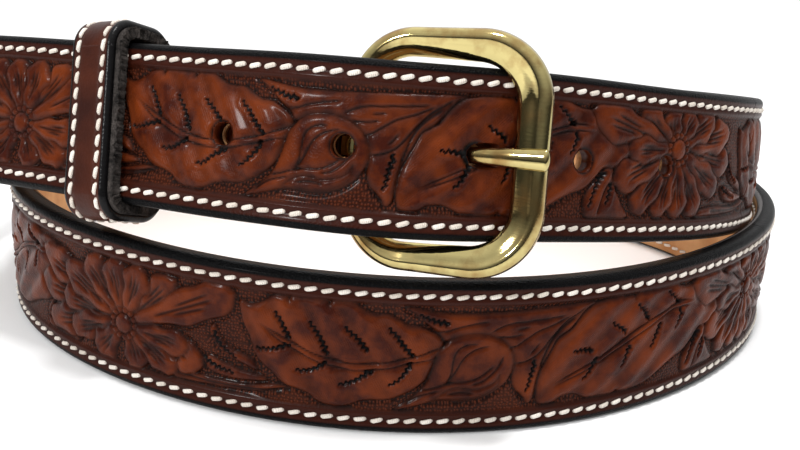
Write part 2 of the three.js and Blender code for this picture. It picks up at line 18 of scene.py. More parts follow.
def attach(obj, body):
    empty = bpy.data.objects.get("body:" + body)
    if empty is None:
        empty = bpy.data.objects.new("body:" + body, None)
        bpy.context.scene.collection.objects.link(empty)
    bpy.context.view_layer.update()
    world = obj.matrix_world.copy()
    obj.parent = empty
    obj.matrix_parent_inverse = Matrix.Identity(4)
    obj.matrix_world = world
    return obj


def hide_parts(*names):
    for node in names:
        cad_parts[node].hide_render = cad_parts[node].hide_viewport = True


MM = 0.001
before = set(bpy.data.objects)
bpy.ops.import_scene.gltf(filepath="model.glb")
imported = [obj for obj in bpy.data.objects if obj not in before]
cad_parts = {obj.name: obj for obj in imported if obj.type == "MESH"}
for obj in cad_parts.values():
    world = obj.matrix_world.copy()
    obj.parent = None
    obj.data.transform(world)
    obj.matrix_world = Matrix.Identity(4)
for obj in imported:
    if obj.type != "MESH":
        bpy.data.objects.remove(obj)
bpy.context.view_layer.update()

# %% [markdown]
# The camera
#
# The photograph was taken from a little above the belt, close to it, so near things look much larger
# than far ones. The camera's place was worked out from the way the belt's straight edges and its two
# turns shrink with distance. It looks down by the pitch, to the right by the heading, and is tilted
# sideways by the roll.

# %% Camera
CAMERA_PLACE = Vector((4.24, -251.17, 105.08)) * MM
CAMERA_PITCH = math.radians(18.87)
CAMERA_HEADING = math.radians(1.25)
CAMERA_ROLL = math.radians(3.85)
LENS = 45
SENSOR_WIDTH = 36

camera_data = bpy.data.cameras.new("camera")
camera_data.lens = LENS
camera_data.sensor_width = SENSOR_WIDTH
camera_data.clip_start = 0.01
camera = bpy.data.objects.new("camera", camera_data)
bpy.context.scene.collection.objects.link(camera)
camera.matrix_world = (
    Matrix.Translation(CAMERA_PLACE)
    @ Matrix.Rotation(-CAMERA_HEADING, 4, "Z")
    @ Matrix.Rotation(math.pi / 2 - CAMERA_PITCH, 4, "X")
    @ Matrix.Rotation(CAMERA_ROLL, 4, "Z")
)
bpy.context.scene.camera = camera
print("The camera stands at", [round(value, 4) for value in CAMERA_PLACE])

# %% [markdown]
# The strap's route
#
# The strap follows the same route as its solid. An oval gives the plan of the turns. A table says, for
# each part of a turn, how many layers outside the oval the strap runs, how high its middle is, and how
# far it leans. Between its rows a cubic B-spline blends the columns, which keeps every bend soft.

# %% Sizes that the strap repeats from its solid
BELT_WIDTH = 32.5
TOOLED_THICKNESS = 3
LINING_THICKNESS = 1.5
CLEARANCE = 0.3
THICKNESS = TOOLED_THICKNESS + CLEARANCE + LINING_THICKNESS
LAYER_STEP = THICKNESS + CLEARANCE
TOOLED_FACE = THICKNESS / 2
TOOLED_BACK = TOOLED_FACE - TOOLED_THICKNESS
LINING_FRONT = TOOLED_BACK - CLEARANCE
LINING_FACE = -THICKNESS / 2
EDGE_ROUND = 1.6
TIP_LENGTH = 24
COIL_HALF_WIDTH = 95
COIL_HALF_DEPTH = 73
HOLE_IN_USE_TURN = 22.9
HOLE_COUNT = 5
HOLE_IN_USE = 3
HOLE_SPACING = 24.9
HOLE_DIAMETER = 4.5
TIP_TO_FIRST_HOLE = 95
HEEL_BAR_TO_HOLE = 24
KEEPER_TO_HOLE = 80.6
ROUTE_SHIFT = np.array([-21.704, 6.137, 0])

# %% Route table
OVAL_WAVES = ((1, 0.014, 0.287), (2, -0.029, 0.028), (3, 0.04, -0.025), (4, -0.011, 0.023))
# Columns: turn in degrees, layers outside the oval, layers inside the route, rise in belt widths, lean
FREE_END = [
    (-125, 20.4, 0, 1.25, 17),
    (-104, 14.2, 0, 1.342, 17),
    (-86, 8.91, 0, 1.431, 17),
    (-70, 4.47, 0, 1.514, 17),
    (-56, 1.73, 0, 1.574, 17),
]
BUCKLED_STRETCH = [
    (-43, 0.3, 0, 1.622, 16.9),
    (-31, -0.51, 0, 1.656, 17.5),
    (-19, -0.95, 0, 1.702, 17.8),
    (-7, -0.83, 0, 1.744, 16.9),
    (5, -0.02, 0, 1.804, 13.8),
    (17, 0.51, 0, 1.81, 12.5),
    (30, -0.53, 0, 1.755, 11),
]
ROUND_THE_TURNS = [
    (44, -1.29, 0, 1.64, 10.1),
    (60, -1.1, 0, 1.52, 8),
    (78, -0.95, 0, 1.37, 4),
    (100, -1, 0, 1.19, 2.5),
    (125, -1, 0, 1.04, 2),
    (150, -0.85, 0, 0.9, 1),
    (178, -0.6, 0, 0.75, 0.5),
    (206, -0.3, 0, 0.62, 0),
    (232, 0, 0, 0.5, 0),
    (258, 0, 0, 0.5, 0),
    (284, 0, 0, 0.5, 0),
    (310, 0, 0, 0.5, 0),
    (335, 0, 0, 0.501, 1.5),
    (360, 0, 0, 0.503, 3),
    (385, 0, 0, 0.503, 2.5),
    (410, 0.1, 0, 0.501, 1),
    (435, 0.3, 0, 0.5, 0),
    (460, 0.4, 0, 0.5, 0),
    (485, 0.4, 0, 0.5, 0),
    (512, 0.45, 0, 0.62, 0),
    (540, 0.65, 0, 0.79, 1),
    (570, 1.1, 0, 0.97, 3),
    (598, 1.35, 0, 1.13, 7),
    (620, 1.95, 0.5, 1.26, 11),
    (638, 2.5, 1, 1.38, 14),
    (652, 2.2, 1, 1.48, 16),
    (664, 1.5, 1, 1.574, 17),
]
TWO_TURNS = 720
behind = [(turn + TWO_TURNS, out, 1, rise, lean) for turn, out, _, rise, lean in BUCKLED_STRETCH]
ROUTE = np.array(FREE_END + BUCKLED_STRETCH + ROUND_THE_TURNS + behind, float)
BEHIND_ROW_SHIFT = len(BUCKLED_STRETCH) + len(ROUND_THE_TURNS)
TURN, OUT, UNDER, RISE, LEAN = range(5)
UP = np.array([0.0, 0.0, 1.0])
SMALL_TURN = 0.01


def unit(vectors):
    """Each vector divided by its own length."""
    return vectors / np.linalg.norm(vectors, axis=-1, keepdims=True)


def run_along(points):
    """The length walked along a line of points, from the first of them to each one."""
    return np.concatenate([[0], np.cumsum(np.linalg.norm(np.diff(points, axis=0), axis=-1))])


def blend_rows(place):
    """All columns between the rows: a uniform cubic B-spline of four neighbouring rows."""
    row = np.clip(np.floor(place).astype(int), 1, len(ROUTE) - 3)
    part = (place - row)[:, None]
    weights = (
        (1 - part) ** 3,
        3 * part**3 - 6 * part**2 + 4,
        -3 * part**3 + 3 * part**2 + 3 * part + 1,
        part**3,
    )
    return sum(weight * ROUTE[row - 1 + k] for k, weight in enumerate(weights)) / 6


def oval_point(turn):
    """The plan of the turns: an ellipse whose radius is swelled by a few waves round the turn."""
    angle = np.radians(turn)
    swell = 1 + sum(c * np.cos(n * angle) + s * np.sin(n * angle) for n, c, s in OVAL_WAVES)
    across = COIL_HALF_WIDTH * np.sin(angle) * swell
    away = -COIL_HALF_DEPTH * np.cos(angle) * swell
    return np.stack([across, away, np.zeros_like(across)], axis=-1)


def route_line(place):
    """A point beside the oval, by the layers outside it, at the height that the table gives."""
    rows = blend_rows(place)
    turn = rows[:, TURN]
    outward = unit(np.cross(oval_point(turn + SMALL_TURN) - oval_point(turn - SMALL_TURN), UP))
    points = oval_point(turn) + outward * (rows[:, OUT] * LAYER_STEP)[:, None]
    points[:, 2] = rows[:, RISE] * BELT_WIDTH
    return points + ROUTE_SHIFT


def stations_at_place(place):
    """Middle, direction, face and across of the strap: a frame that leans about its direction."""
    rows = blend_rows(place)
    along = unit(route_line(place + SMALL_TURN) - route_line(place - SMALL_TURN))
    lean = np.radians(rows[:, LEAN])[:, None]
    level = unit(np.cross(along, UP))
    upright = np.cross(level, along)
    face = level * np.cos(lean) + upright * np.sin(lean)
    across = upright * np.cos(lean) - level * np.sin(lean)
    middle = route_line(place) - face * (rows[:, UNDER] * LAYER_STEP)[:, None]
    return middle, along, face, across


# %% Lengths along the strap's face
STEPS_PER_ROW = 24
table_place = np.arange(STEPS_PER_ROW, (len(ROUTE) - 2) * STEPS_PER_ROW) / STEPS_PER_ROW
table_middle, _, table_face, _ = stations_at_place(table_place)
table_points = table_middle + table_face * TOOLED_FACE
table_length = run_along(table_points)
table_turn = blend_rows(table_place)[:, TURN]


def stations(length):
    """The strap's frame at each length along its face. Before the table it goes straight on."""
    length = np.atleast_1d(np.asarray(length, float))
    middle, along, face, across = stations_at_place(np.interp(length, table_length, table_place))
    middle = middle + along * np.minimum(length, 0)[:, None]
    return middle, along, face, across


def station(length):
    """The strap's frame at one length."""
    return tuple(rows[0] for rows in stations(length))


def length_of_turn(turn):
    """The length along the strap at which it has gone round by that many degrees."""
    return float(np.interp(turn, table_turn, table_length))


hole_in_use_at = length_of_turn(HOLE_IN_USE_TURN)
hole_lengths = hole_in_use_at + (np.arange(HOLE_COUNT) - (HOLE_IN_USE - 1)) * HOLE_SPACING
tip_at = hole_lengths[0] - TIP_TO_FIRST_HOLE
heel_bar_at = hole_in_use_at - HEEL_BAR_TO_HOLE
keeper_at = hole_in_use_at - KEEPER_TO_HOLE
heel_bar_place = np.interp(heel_bar_at, table_length, table_place) + BEHIND_ROW_SHIFT
behind_bar_at = float(np.interp(heel_bar_place, table_place, table_length))
print("The strap is", round(behind_bar_at - tip_at, 1), "mm long to the buckle's bar")

# %% [markdown]
# The carving
#
# A leather carver cuts each outline with a swivel knife, bevels the leather down beside the cut, sinks
# the background with a small stamp that leaves rows of beads, and opens the leaves with serrated cuts.
# Here the same drawing is charted as short lists of points, in millimetres along and across
# the strap, and worked into one height map with numpy: a region is raised by its distance from its
# outline, the leather beside it is bevelled down, and a cut is a groove by its distance from a curve.
# A height map of numbers is used, not a picture, because the relief becomes real geometry.

# %% Carver's canvas
REPEAT = 157.3
CYCLE = 2 * REPEAT
CANVAS_START = -260
CANVAS_END = 240
CANVAS_HALF = 11.7
CANVAS_STEP = 0.15
BACKGROUND_DEPTH = 0.55
canvas_x = np.arange(CANVAS_START, CANVAS_END, CANVAS_STEP)
canvas_v = np.arange(-CANVAS_HALF, CANVAS_HALF + CANVAS_STEP, CANVAS_STEP)
layers = ("height", "beads", "cut", "hatch", "hatched")
canvas = {layer: np.zeros((len(canvas_x), len(canvas_v))) for layer in layers}
canvas["height"] -= BACKGROUND_DEPTH
canvas["beads"] += 1


def smooth_step(low, high, value):
    """0 below low, 1 above high, and a soft S between them."""
    share = np.clip((value - low) / (high - low), 0, 1)
    return share * share * (3 - 2 * share)


def bell(gap, width):
    """1 in the middle of a line, falling off as a bell curve of the distance to it."""
    return np.exp(-((gap / width) ** 2))


def smooth_curve(points, closed=False, per_span=6):
    """A Catmull-Rom curve through the points, sampled evenly in each span."""
    points = np.asarray(points, float)
    if closed:
        padded = np.concatenate([points[-1:], points, points[:2]])
    else:
        padded = np.concatenate([2 * points[:1] - points[1:2], points, 2 * points[-1:] - points[-2:-1]])
    before, start, end, after = padded[:-3], padded[1:-2], padded[2:-1], padded[3:]
    part = (np.arange(per_span) / per_span)[None, :, None]
    before, start, end, after = (row[:, None, :] for row in (before, start, end, after))
    curve = 0.5 * (
        2 * start
        + (end - before) * part
        + (2 * before - 5 * start + 4 * end - after) * part**2
        + (3 * start - before - 3 * end + after) * part**3
    )
    curve = curve.reshape(-1, 2)
    return curve if closed else np.concatenate([curve, points[-1:]])


def window(curve, margin):
    """The part of the canvas within a margin of a curve, with the coordinates of its points."""
    low, high = curve.min(0) - margin, curve.max(0) + margin
    columns = slice(*np.searchsorted(canvas_x, (low[0], high[0])))
    rows = slice(*np.searchsorted(canvas_v, (low[1], high[1])))
    grid = np.stack(np.meshgrid(canvas_x[columns], canvas_v[rows], indexing="ij"), axis=-1)
    return (columns, rows), grid


def distance_to_curve(grid, curve):
    """Distance, side and length along the curve, of the nearest point of its straight pieces."""
    nearest = np.full(grid.shape[:2], np.inf)
    side = np.zeros(grid.shape[:2])
    run = np.zeros(grid.shape[:2])
    walked = 0.0
    for start, end in zip(curve[:-1], curve[1:]):
        step = end - start
        size = max(float(np.hypot(*step)), 1e-9)
        offset = grid - start
        share = np.clip((offset @ step) / size**2, 0, 1)
        gap = np.linalg.norm(offset - share[..., None] * step, axis=-1)
        closer = gap < nearest
        cross = step[0] * offset[..., 1] - step[1] * offset[..., 0]
        side = np.where(closer, np.sign(cross), side)
        run = np.where(closer, walked + share * size, run)
        nearest = np.where(closer, gap, nearest)
        walked += size
    return nearest, side, run


def inside_outline(grid, outline):
    """True where a ray to the right crosses the outline an odd number of times."""
    x, v = grid[..., 0], grid[..., 1]
    odd = np.zeros(x.shape, bool)
    for start, end in zip(outline, np.roll(outline, -1, axis=0)):
        if start[1] == end[1]:
            continue
        crosses = (start[1] > v) != (end[1] > v)
        at = start[0] + (v - start[1]) * (end[0] - start[0]) / (end[1] - start[1])
        odd ^= crosses & (x < at)
    return odd


# %% The carver's three strokes
BEVEL_WIDTH = 1.5
BEVEL_DEPTH = 0.45
SHOULDER = 0.55
CROWN_REACH = 3
RUFFLE_FADE = (0, 2)
HATCH_FADE = (0.3, 1.2)
CUT_REACH = 2.2
CUT_BEVEL_WIDTH = 1.7
CUT_START = 0.25
CUT_SHADE_DARKNESS = 0.55
SERRATED_REACH = 1.8
SERRATED_LIMIT = 1.4
BURR_FROM_CUT = 0.95
BURR_WIDTH = 0.35
BURR_HEIGHT = 0.12
PRESSED_RING_WIDTH = 0.9
PRESSED_RING_DEPTH = 0.7
PRESSED_SHARE = 0.6


def raise_region(outline, height=0.1, crown=0.0, shift=0.0, hatch=None, sample=5):
    """Raises what lies inside an outline, by one minus an exponential of the distance to it, and
    presses down the leather just outside it. A hatch is the slant and the pitch of fine lines, then
    the first crest, the length and the height of the ruffles that they lie on."""
    curve = smooth_curve(outline, closed=True, per_span=sample) + (shift, 0)
    place, grid = window(curve, BEVEL_WIDTH)
    if grid.size == 0:
        return
    gap, _, _ = distance_to_curve(grid, np.concatenate([curve, curve[:1]]))
    inner = inside_outline(grid, curve)
    body = height - (height + BACKGROUND_DEPTH) * np.exp(-gap / SHOULDER)
    body = body + crown * (1 - np.exp(-gap / CROWN_REACH))
    if hatch is not None:
        slant, pitch, crest, wave, depth = hatch
        level = grid[..., 0] - shift + slant * grid[..., 1]
        ruffle = depth * np.cos(2 * np.pi * (level - crest) / wave)
        body = body + ruffle * smooth_step(*RUFFLE_FADE, gap)
        canvas["hatch"][place][inner] = (level / (pitch * math.hypot(1, slant)))[inner]
    old = canvas["height"][place]
    pressed = old - BEVEL_DEPTH * np.clip(1 - gap / BEVEL_WIDTH, 0, 1) ** 2
    canvas["height"][place] = np.where(inner, body, pressed)
    canvas["beads"][place][inner] = 0
    canvas["cut"][place][inner] = 0
    canvas["hatched"][place][inner] = 0 if hatch is None else smooth_step(*HATCH_FADE, gap)[inner]


def knife_cut(points, depth=0.3, width=0.24, bevel=0.18, shift=0.0, taper=1.2):
    """A knife line: a narrow groove by the distance from a curve, with one side bevelled down."""
    curve = smooth_curve(points) + (shift, 0)
    place, grid = window(curve, CUT_REACH)
    gap, side, run = distance_to_curve(grid, curve)
    to_end = run_along(curve)[-1] - run
    fade = np.clip(np.minimum(run, to_end) / taper + CUT_START, 0, 1)
    slope = bevel * (side > 0) * np.clip(1 - gap / CUT_BEVEL_WIDTH, 0, 1) ** 1.5
    canvas["height"][place] -= fade * (depth * bell(gap, width) + slope)
    # The groove is also darkened in the cut mask: painted shade, with the dye that gathers in it.
    line = CUT_SHADE_DARKNESS * fade * bell(gap, width * 0.8)
    canvas["cut"][place] = np.maximum(canvas["cut"][place], line)


def serrated_cut(points, width=0.36, depth=0.75, tooth=1.15, swing=0.34, shift=0.0):
    """An opening with toothed sides: the curve is swung from side to side by a triangle wave, the
    opening widens along it, and one side is pushed up into a burr."""
    curve = smooth_curve(points) + (shift, 0)
    place, grid = window(curve, SERRATED_REACH)
    gap, side, run = distance_to_curve(grid, curve)
    wave = swing * (2 * np.abs((run / tooth) % 1 - 0.5) - 0.5) * 2
    girth = width * (0.55 + 0.75 * run / run_along(curve)[-1])
    open_part = 1 - smooth_step(girth * 0.55, girth * 1.25, np.abs(gap * side - wave))
    open_part *= gap < SERRATED_LIMIT
    burr = BURR_HEIGHT * bell(gap - BURR_FROM_CUT, BURR_WIDTH) * (side < 0)
    canvas["height"][place] += burr - depth * open_part
    # The opening is painted black in the cut mask: the dye in it and painted shade.
    canvas["cut"][place] = np.maximum(canvas["cut"][place], open_part)


def dome(x, v, radius, height):
    """A small round boss: its height falls with a power of the distance, inside a pressed ring."""
    place, grid = window(np.array([[x, v]]), radius + 1.2)
    gap = np.hypot(grid[..., 0] - x, grid[..., 1] - v)
    ring = -PRESSED_RING_DEPTH * np.clip(1 - (gap - radius) / PRESSED_RING_WIDTH, 0, 1) ** 2
    top = height * (1 - np.clip(gap / radius, 0, 1) ** 2.4)
    old = canvas["height"][place]
    around = np.minimum(old, PRESSED_SHARE * (old + ring))
    canvas["height"][place] = np.where(gap < radius, top, around)
    canvas["beads"][place][gap < radius + 0.5] = 0
    canvas["hatched"][place][gap < radius] = 0


# %% [markdown]
# The leaves and the bud
#
# The pattern's repeat goes from one flower to the next. Between them lie a large leaf with a curved
# double midrib, a round bud on its stem, and a second leaf that the next flower overlaps. The lists
# below follow the edges of these forms in order. What lies on top is carved last.

# %% Outlines, in millimetres along and across the strap from a point near its second hole
FIRST_LEAF = [
    (-57, 8.9), (-54.5, 8.6), (-51.5, 9.8), (-50, 11.0), (-47.2, 11.2), (-46.6, 10.6), (-45.8, 11.3),
    (-39.4, 11.3), (-38.6, 10.5), (-37.6, 11.3), (-34, 11.3), (-32.6, 10.7), (-31, 9.7), (-29, 9.3),
    (-26.8, 9.3), (-25, 8.5), (-23.4, 7.6), (-22, 7.1), (-20.3, 7.0), (-18.6, 6.3), (-17.2, 5.6),
    (-16.2, 4.6), (-15.3, 2.8), (-16.6, 0.4), (-17.2, -1.5), (-18.2, -3.9), (-19.6, -5.4),
    (-21.6, -6.9), (-23.8, -8.1), (-26, -8.9), (-29, -9.2), (-31.6, -9.6), (-33.6, -10.6),
    (-36, -11.1), (-38.6, -10.9), (-40.6, -10.1), (-42, -9), (-44, -8.3), (-46.5, -7.8),
    (-48.3, -6.7), (-49.8, -5.2), (-51.3, -4.2), (-53, -2.6), (-53.8, -0.6), (-54.8, 2), (-56.2, 4.6),
]
SECOND_LEAF = [
    (5.2, -10.4), (4.8, -7.6), (5.3, -4), (6.5, -1.2), (7.7, 1), (8.8, 3.3), (10.4, 4.4), (12, 5.4),
    (13.4, 7.2), (15, 9), (16.8, 10.2), (19, 10.8), (22, 11.1), (26.5, 11.0), (27.3, 10.5),
    (28.2, 11.2), (33, 11.4), (39, 11.4), (41.5, 10.7), (43.6, 10.2), (46, 10.4), (52, 9), (58, 4),
    (57, 0), (53, -1.6), (50, -1.4), (47.6, -3.6), (45.2, -5.4), (41, -6.8), (37.6, -8.4),
    (34.6, -9.9), (31, -10.9), (26, -11.1), (24.8, -10.5), (23.6, -11.1), (17.5, -11), (15.8, -10.5),
    (14, -9.7), (12, -9.6), (10.3, -10), (9, -10.8), (7, -11),
]
LONG_LEAF = [
    (-23.4, 11.1), (-16, 10), (-10, 9.8), (-2, 10.1), (6, 10.5), (15.5, 10.9), (18.5, 10.4),
    (16, 9.8), (13.8, 7.6), (11.5, 5.1), (9, 3.4), (7.5, 0.6), (5.5, -3.3), (4.8, -7.5), (4.2, -9.6),
    (3, -10.4), (1.5, -8.8), (0, -7), (-0.8, -5), (-1.5, 0), (-3, 3), (-8, 4.6), (-13, 4.2),
    (-15.4, 3.6), (-16.4, 5), (-18.4, 6.8), (-20.8, 9),
]
BUD = [
    (-17.3, -9.2), (-15, -9.1), (-12, -9.2), (-9.5, -9.2), (-7, -8.6), (-5, -7.7), (-3.2, -6.4),
    (-1.9, -5), (-1.1, -3.6), (-0.6, -2), (-0.6, -0.5), (-1, 1), (-1.8, 2.4), (-3, 3.6), (-4.5, 4.6),
    (-6.4, 5.3), (-8.5, 5.6), (-10.6, 5.5), (-12.5, 5.1), (-14.2, 4.2), (-15.6, 2.8), (-16.6, 1),
    (-17.2, -1.2), (-18, -3.6), (-18.8, -5.4), (-21, -8), (-24.5, -10.9), (-21, -10.3),
]
BUD_CRESCENT = [
    (-16.6, -8.4), (-14.5, -6.7), (-12.8, -6), (-11, -6.1), (-9, -6.4), (-7, -6.1), (-5.3, -5.5),
    (-4.2, -4.7), (-3.5, -3.4), (-3.6, -5.4), (-5, -6.9), (-7.4, -8.1), (-10, -8.6), (-13.4, -8.6),
]
FEATHER_LEAF = [
    (53, -1.2), (50.6, -1.2), (48.4, -3.4), (46.4, -5.4), (45.3, -7.6), (45.6, -10.2), (46.6, -11.1),
    (52, -11.1), (58, -10.9), (56, -8), (54, -5), (53, -2.5),
]
UPPER_SCROLL = [
    (-63.4, 1.9), (-62.6, -0.4), (-61.2, -2.2), (-58.8, -3.7), (-56, -4.6), (-52.6, -5.6),
    (-53.6, -3.4), (-55.6, -2.4), (-58.4, -1.7), (-60.4, -0.3), (-61.6, 1.6), (-62.2, 2.9),
]
LOWER_SCROLL = [
    (-65, -4.6), (-64.2, -6.4), (-62.6, -7.6), (-60, -8.1), (-57, -8.2), (-53, -7.9), (-50.4, -7.2),
    (-52.4, -6.3), (-56, -5.9), (-59.6, -5.1), (-62.6, -4.2),
]
STEM = [
    (-78, -10.2), (-70, -8.8), (-65, -8.8), (-60, -9), (-55, -8.9), (-50.5, -8), (-47, -7.8),
    (-46, -8.4), (-48, -8.9), (-52, -10.1), (-58, -10.6), (-65, -10.8), (-75, -11),
]

# %% Knife lines and serrated cuts of one repeat
MIDRIB_CUTS = [
    [(-52.5, 5.3), (-50, 3.7), (-47, 2.2), (-44, 1), (-41, -0.1), (-38, -0.9), (-34, -1.4),
     (-30, -1.3), (-26, -0.6), (-22, 0.4), (-19, 1.4), (-15.3, 2.8)],
    [(-16.8, 0.4), (-19, 0), (-22, -0.8), (-25, -1.6), (-28, -2.3), (-31, -2.7), (-34, -2.7),
     (-37, -2.4), (-39.5, -1.9), (-42, -1), (-45, 0.2), (-48, 1.7), (-52.5, 5)],
    [(9, -6.6), (13.8, -4.3), (17.8, -2.4), (21.8, -0.6), (24.8, 0.8), (28, 2.4), (31.8, 4.2),
     (35, 5.4), (40, 6.7), (42.5, 7), (46, 6.8)],
    [(46, 6), (41, 5.8), (38.5, 5.4), (35, 4.4), (31.8, 3), (28, 1.2), (24.8, -0.4), (21.8, -1.7),
     (17.8, -3.4), (13, -5.4), (9, -7)],
]
FORM_CUTS = [
    [(-6.5, 8.2), (-9, 7.8), (-11, 7.4), (-13, 6.9), (-15, 6.2), (-17, 6)],
    [(10, 8.6), (6, 8.2), (3, 8), (1, 7.8), (-1, 7.7), (-3, 7.3), (-4.5, 6.7), (-6, 5.9)],
    [(1, 5.2), (-0.5, 4.9), (-2.5, 4.7), (-4.5, 4.8)],
    [(11, 8.4), (8, 7), (6, 6.3), (4, 5.6), (2.5, 4.7), (1, 3.7), (-0.5, 2.7), (-1.8, 2.3)],
    [(14.5, 9.9), (12.5, 8.6), (10.5, 7.3), (8.7, 5.6), (7, 3.7), (5.5, 1.8), (4, 0.3), (2, -0.7),
     (-0.4, -1.2)],
    [(5.2, -2.6), (6.2, 0.4), (7, 2.4), (8.4, 4.6), (10.4, 6.4), (12.6, 7.9)],
    [(4.6, 3.2), (3.6, 1.8), (2.6, 0.8)],
    [(2.2, 6.6), (0.6, 6.4), (-0.8, 6.3)],
    [(0.3, -7.5), (1.5, -8.8), (2.7, -9.8)],
    [(-8.5, 3.4), (-10, 3.4), (-11.3, 3.1), (-12.5, 2.3), (-13.2, 1), (-13.5, -1), (-13.7, -3),
     (-14.4, -4.9)],
    [(-6.2, 3), (-8, 2.6), (-9.5, 2), (-10.8, 1), (-11.8, -0.3), (-12.8, -2.5), (-14, -4.5)],
    [(-14.8, -5), (-12.5, -4.9), (-10, -4.7), (-8, -4), (-6.5, -3), (-4.9, -1.5)],
    [(-9.5, -5.4), (-7.5, -5), (-6, -4), (-4.8, -2.8), (-3.6, -1), (-3, 0.8)],
    [(-19.4, -6.7), (-17, -6.1), (-15, -5.4), (-13, -5.1)],
    [(-22.6, -10), (-20.4, -8.3), (-18.4, -7.4), (-15.6, -6.7)],
    [(52, -3.4), (50.6, -5.5), (49.7, -8), (49, -10.6)],
    [(50, -2), (48, -5.2), (46.6, -9)],
    [(-46.5, -8.4), (-52, -9.4), (-60, -9.8), (-70, -9.6)],
    [(-14.4, -7.6), (-11.5, -7.2), (-8.6, -7.5)],
]
SERRATED = [
    [(-49.3, 7.3), (-48.2, 6), (-47.3, 4.3), (-46.4, 2.7)],
    [(-42.2, 6.2), (-41, 4.8), (-39.9, 3), (-39.1, 1.5), (-38.8, 0.4)],
    [(-35, 5.8), (-33.4, 4.6), (-32, 3.2), (-30.8, 1.6)],
    [(-26.4, 6.2), (-25, 4.9), (-23.8, 3.3), (-22.4, 1.8), (-21.8, 0.9)],
    [(-52.6, -0.6), (-50, -0.2), (-48, 0.5), (-46.6, 1.1)],
    [(-44.2, -4.1), (-42, -3.7), (-40.3, -2.8), (-38.8, -1.9)],
    [(-35.4, -6.2), (-33.5, -5.4), (-32, -4.4), (-30, -3)],
    [(-25.6, -5.5), (-24.2, -4.3), (-23, -3), (-21.9, -1.2)],
    [(-20.3, 9.2), (-18.7, 8.7), (-17, 8.1), (-15.2, 8)],
    [(2.6, -7), (2.9, -5.6), (3.3, -3.6), (3.9, -1.4)],
    [(12.8, 0.4), (14.6, 0.5), (17, 0.1)],
    [(22, 5.2), (23.6, 4.4), (25.2, 3.1)],
    [(28.2, 8.4), (30, 7), (31.4, 5)],
    [(37.2, 9.8), (38.5, 9), (39.8, 7.8), (41.1, 7)],
    [(15.8, -6), (16.7, -5), (17.5, -3.6), (18.3, -1.9)],
    [(25.4, -4.6), (26, -2.6), (26.8, -0.6)],
    [(33.6, -1.6), (34.6, 0.6), (35.4, 3)],
    [(40.6, 1.6), (41.3, 3.2), (41.8, 4.9)],
    [(46.8, -8.6), (47.4, -6.6), (48.6, -4.2), (50.2, -2.2)],
    [(51.4, -8), (51.8, -6.2), (52.4, -4.4)],
    [(-57.6, -3.2), (-59.6, -2.2), (-61.2, -0.8), (-62.2, 0.8)],
    [(-58, -6.7), (-60.4, -6.4), (-62.4, -5.7), (-64.2, -5)],
]
FLOWER_SPREAD = 84.8


def carve_repeat(shift):
    """Carves the leaves, stems and bud of one repeat, from the bottom layer to the top one."""
    raise_region(STEM, shift=shift)
    raise_region(UPPER_SCROLL, shift=shift)
    raise_region(LOWER_SCROLL, shift=shift)
    raise_region(LONG_LEAF, height=0.05, shift=shift)
    raise_region(FIRST_LEAF, height=0.05, crown=0.12, shift=shift, hatch=(0.55, 0.42, -41.6, 7.4, 0.27))
    raise_region(SECOND_LEAF, height=0.05, crown=0.12, shift=shift, hatch=(-1.1, 0.42, 20, 8.6, 0.24))
    raise_region(FEATHER_LEAF, shift=shift)
    raise_region(BUD, height=0.12, shift=shift)
    raise_region(BUD_CRESCENT, height=0.05, shift=shift)
    for points in MIDRIB_CUTS:
        knife_cut(points, depth=0.4, width=0.24, bevel=0.3, shift=shift, taper=4)
    for points in FORM_CUTS:
        knife_cut(points, depth=0.36, bevel=0.3, shift=shift)
    for points in SERRATED:
        serrated_cut(points, shift=shift)


# %% [markdown]
# The flowers
#
# A flower has a round centre in a ring of seeds, and a dozen ruffled petals. The petals aren't alike:
# the long ones run out along the strap, and the short ones end at the border. So a small table gives
# each petal's reach along and across the strap and its half width, and a formula draws its outline: it
# widens from the centre, and closes with a round end whose rim is ruffled.

# %% Petals
# Columns: reach along the strap, reach across it, half width
RIGHT_FLOWER_PETALS = [
    (-29, 3, 3.6), (-28, 10.5, 3.4), (-26, -6, 3.4),
    (-20, 1.5, 3.0), (20.5, -4.5, 3.2), (-19, 9, 3.4), (-17, -5.5, 3.1), (-11, 13, 3.3),
    (13.5, 12.9, 3.1), (-8, -8.8, 3.2), (5, -9, 3.2), (-3.5, 14, 3.2), (4.6, 14, 3.1),
    (14, -7.4, 2.9), (27, 12.6, 3.8), (17, -1.4, 2.6),
]
LEFT_FLOWER_PETALS = [
    (22, -2.8, 3.3), (21, 4.4, 3.3), (13, 7.6, 3.2), (4.6, 8.2, 3), (-4, 8, 3), (-13, 7.4, 3),
    (17, -9.2, 3.2), (9, -14.4, 3.1), (1.6, -15, 3.1), (-6, -14.6, 3.1), (-13.4, -13.4, 3),
    (-19.6, -7.4, 3.3), (-27, 6.6, 3.7), (-16, -0.6, 2.6),
]
RIGHT_FLOWER_UP = -2.4
LEFT_FLOWER_UP = 3.6
PETAL_POINTS = 18
PETAL_START = 0.08
PETAL_WIDEST = 0.7
PETAL_FULLNESS = 1.18
RUFFLE_HEIGHT = 0.13
RUFFLE_PHASES = 17
SEED_COUNT = 13
SEED_RING = 3
# Columns: place across the petal, start and end along it, all as shares of the petal
VEINS = ((0, 0.3, 0.82), (0.45, 0.5, 0.8), (-0.45, 0.46, 0.76))


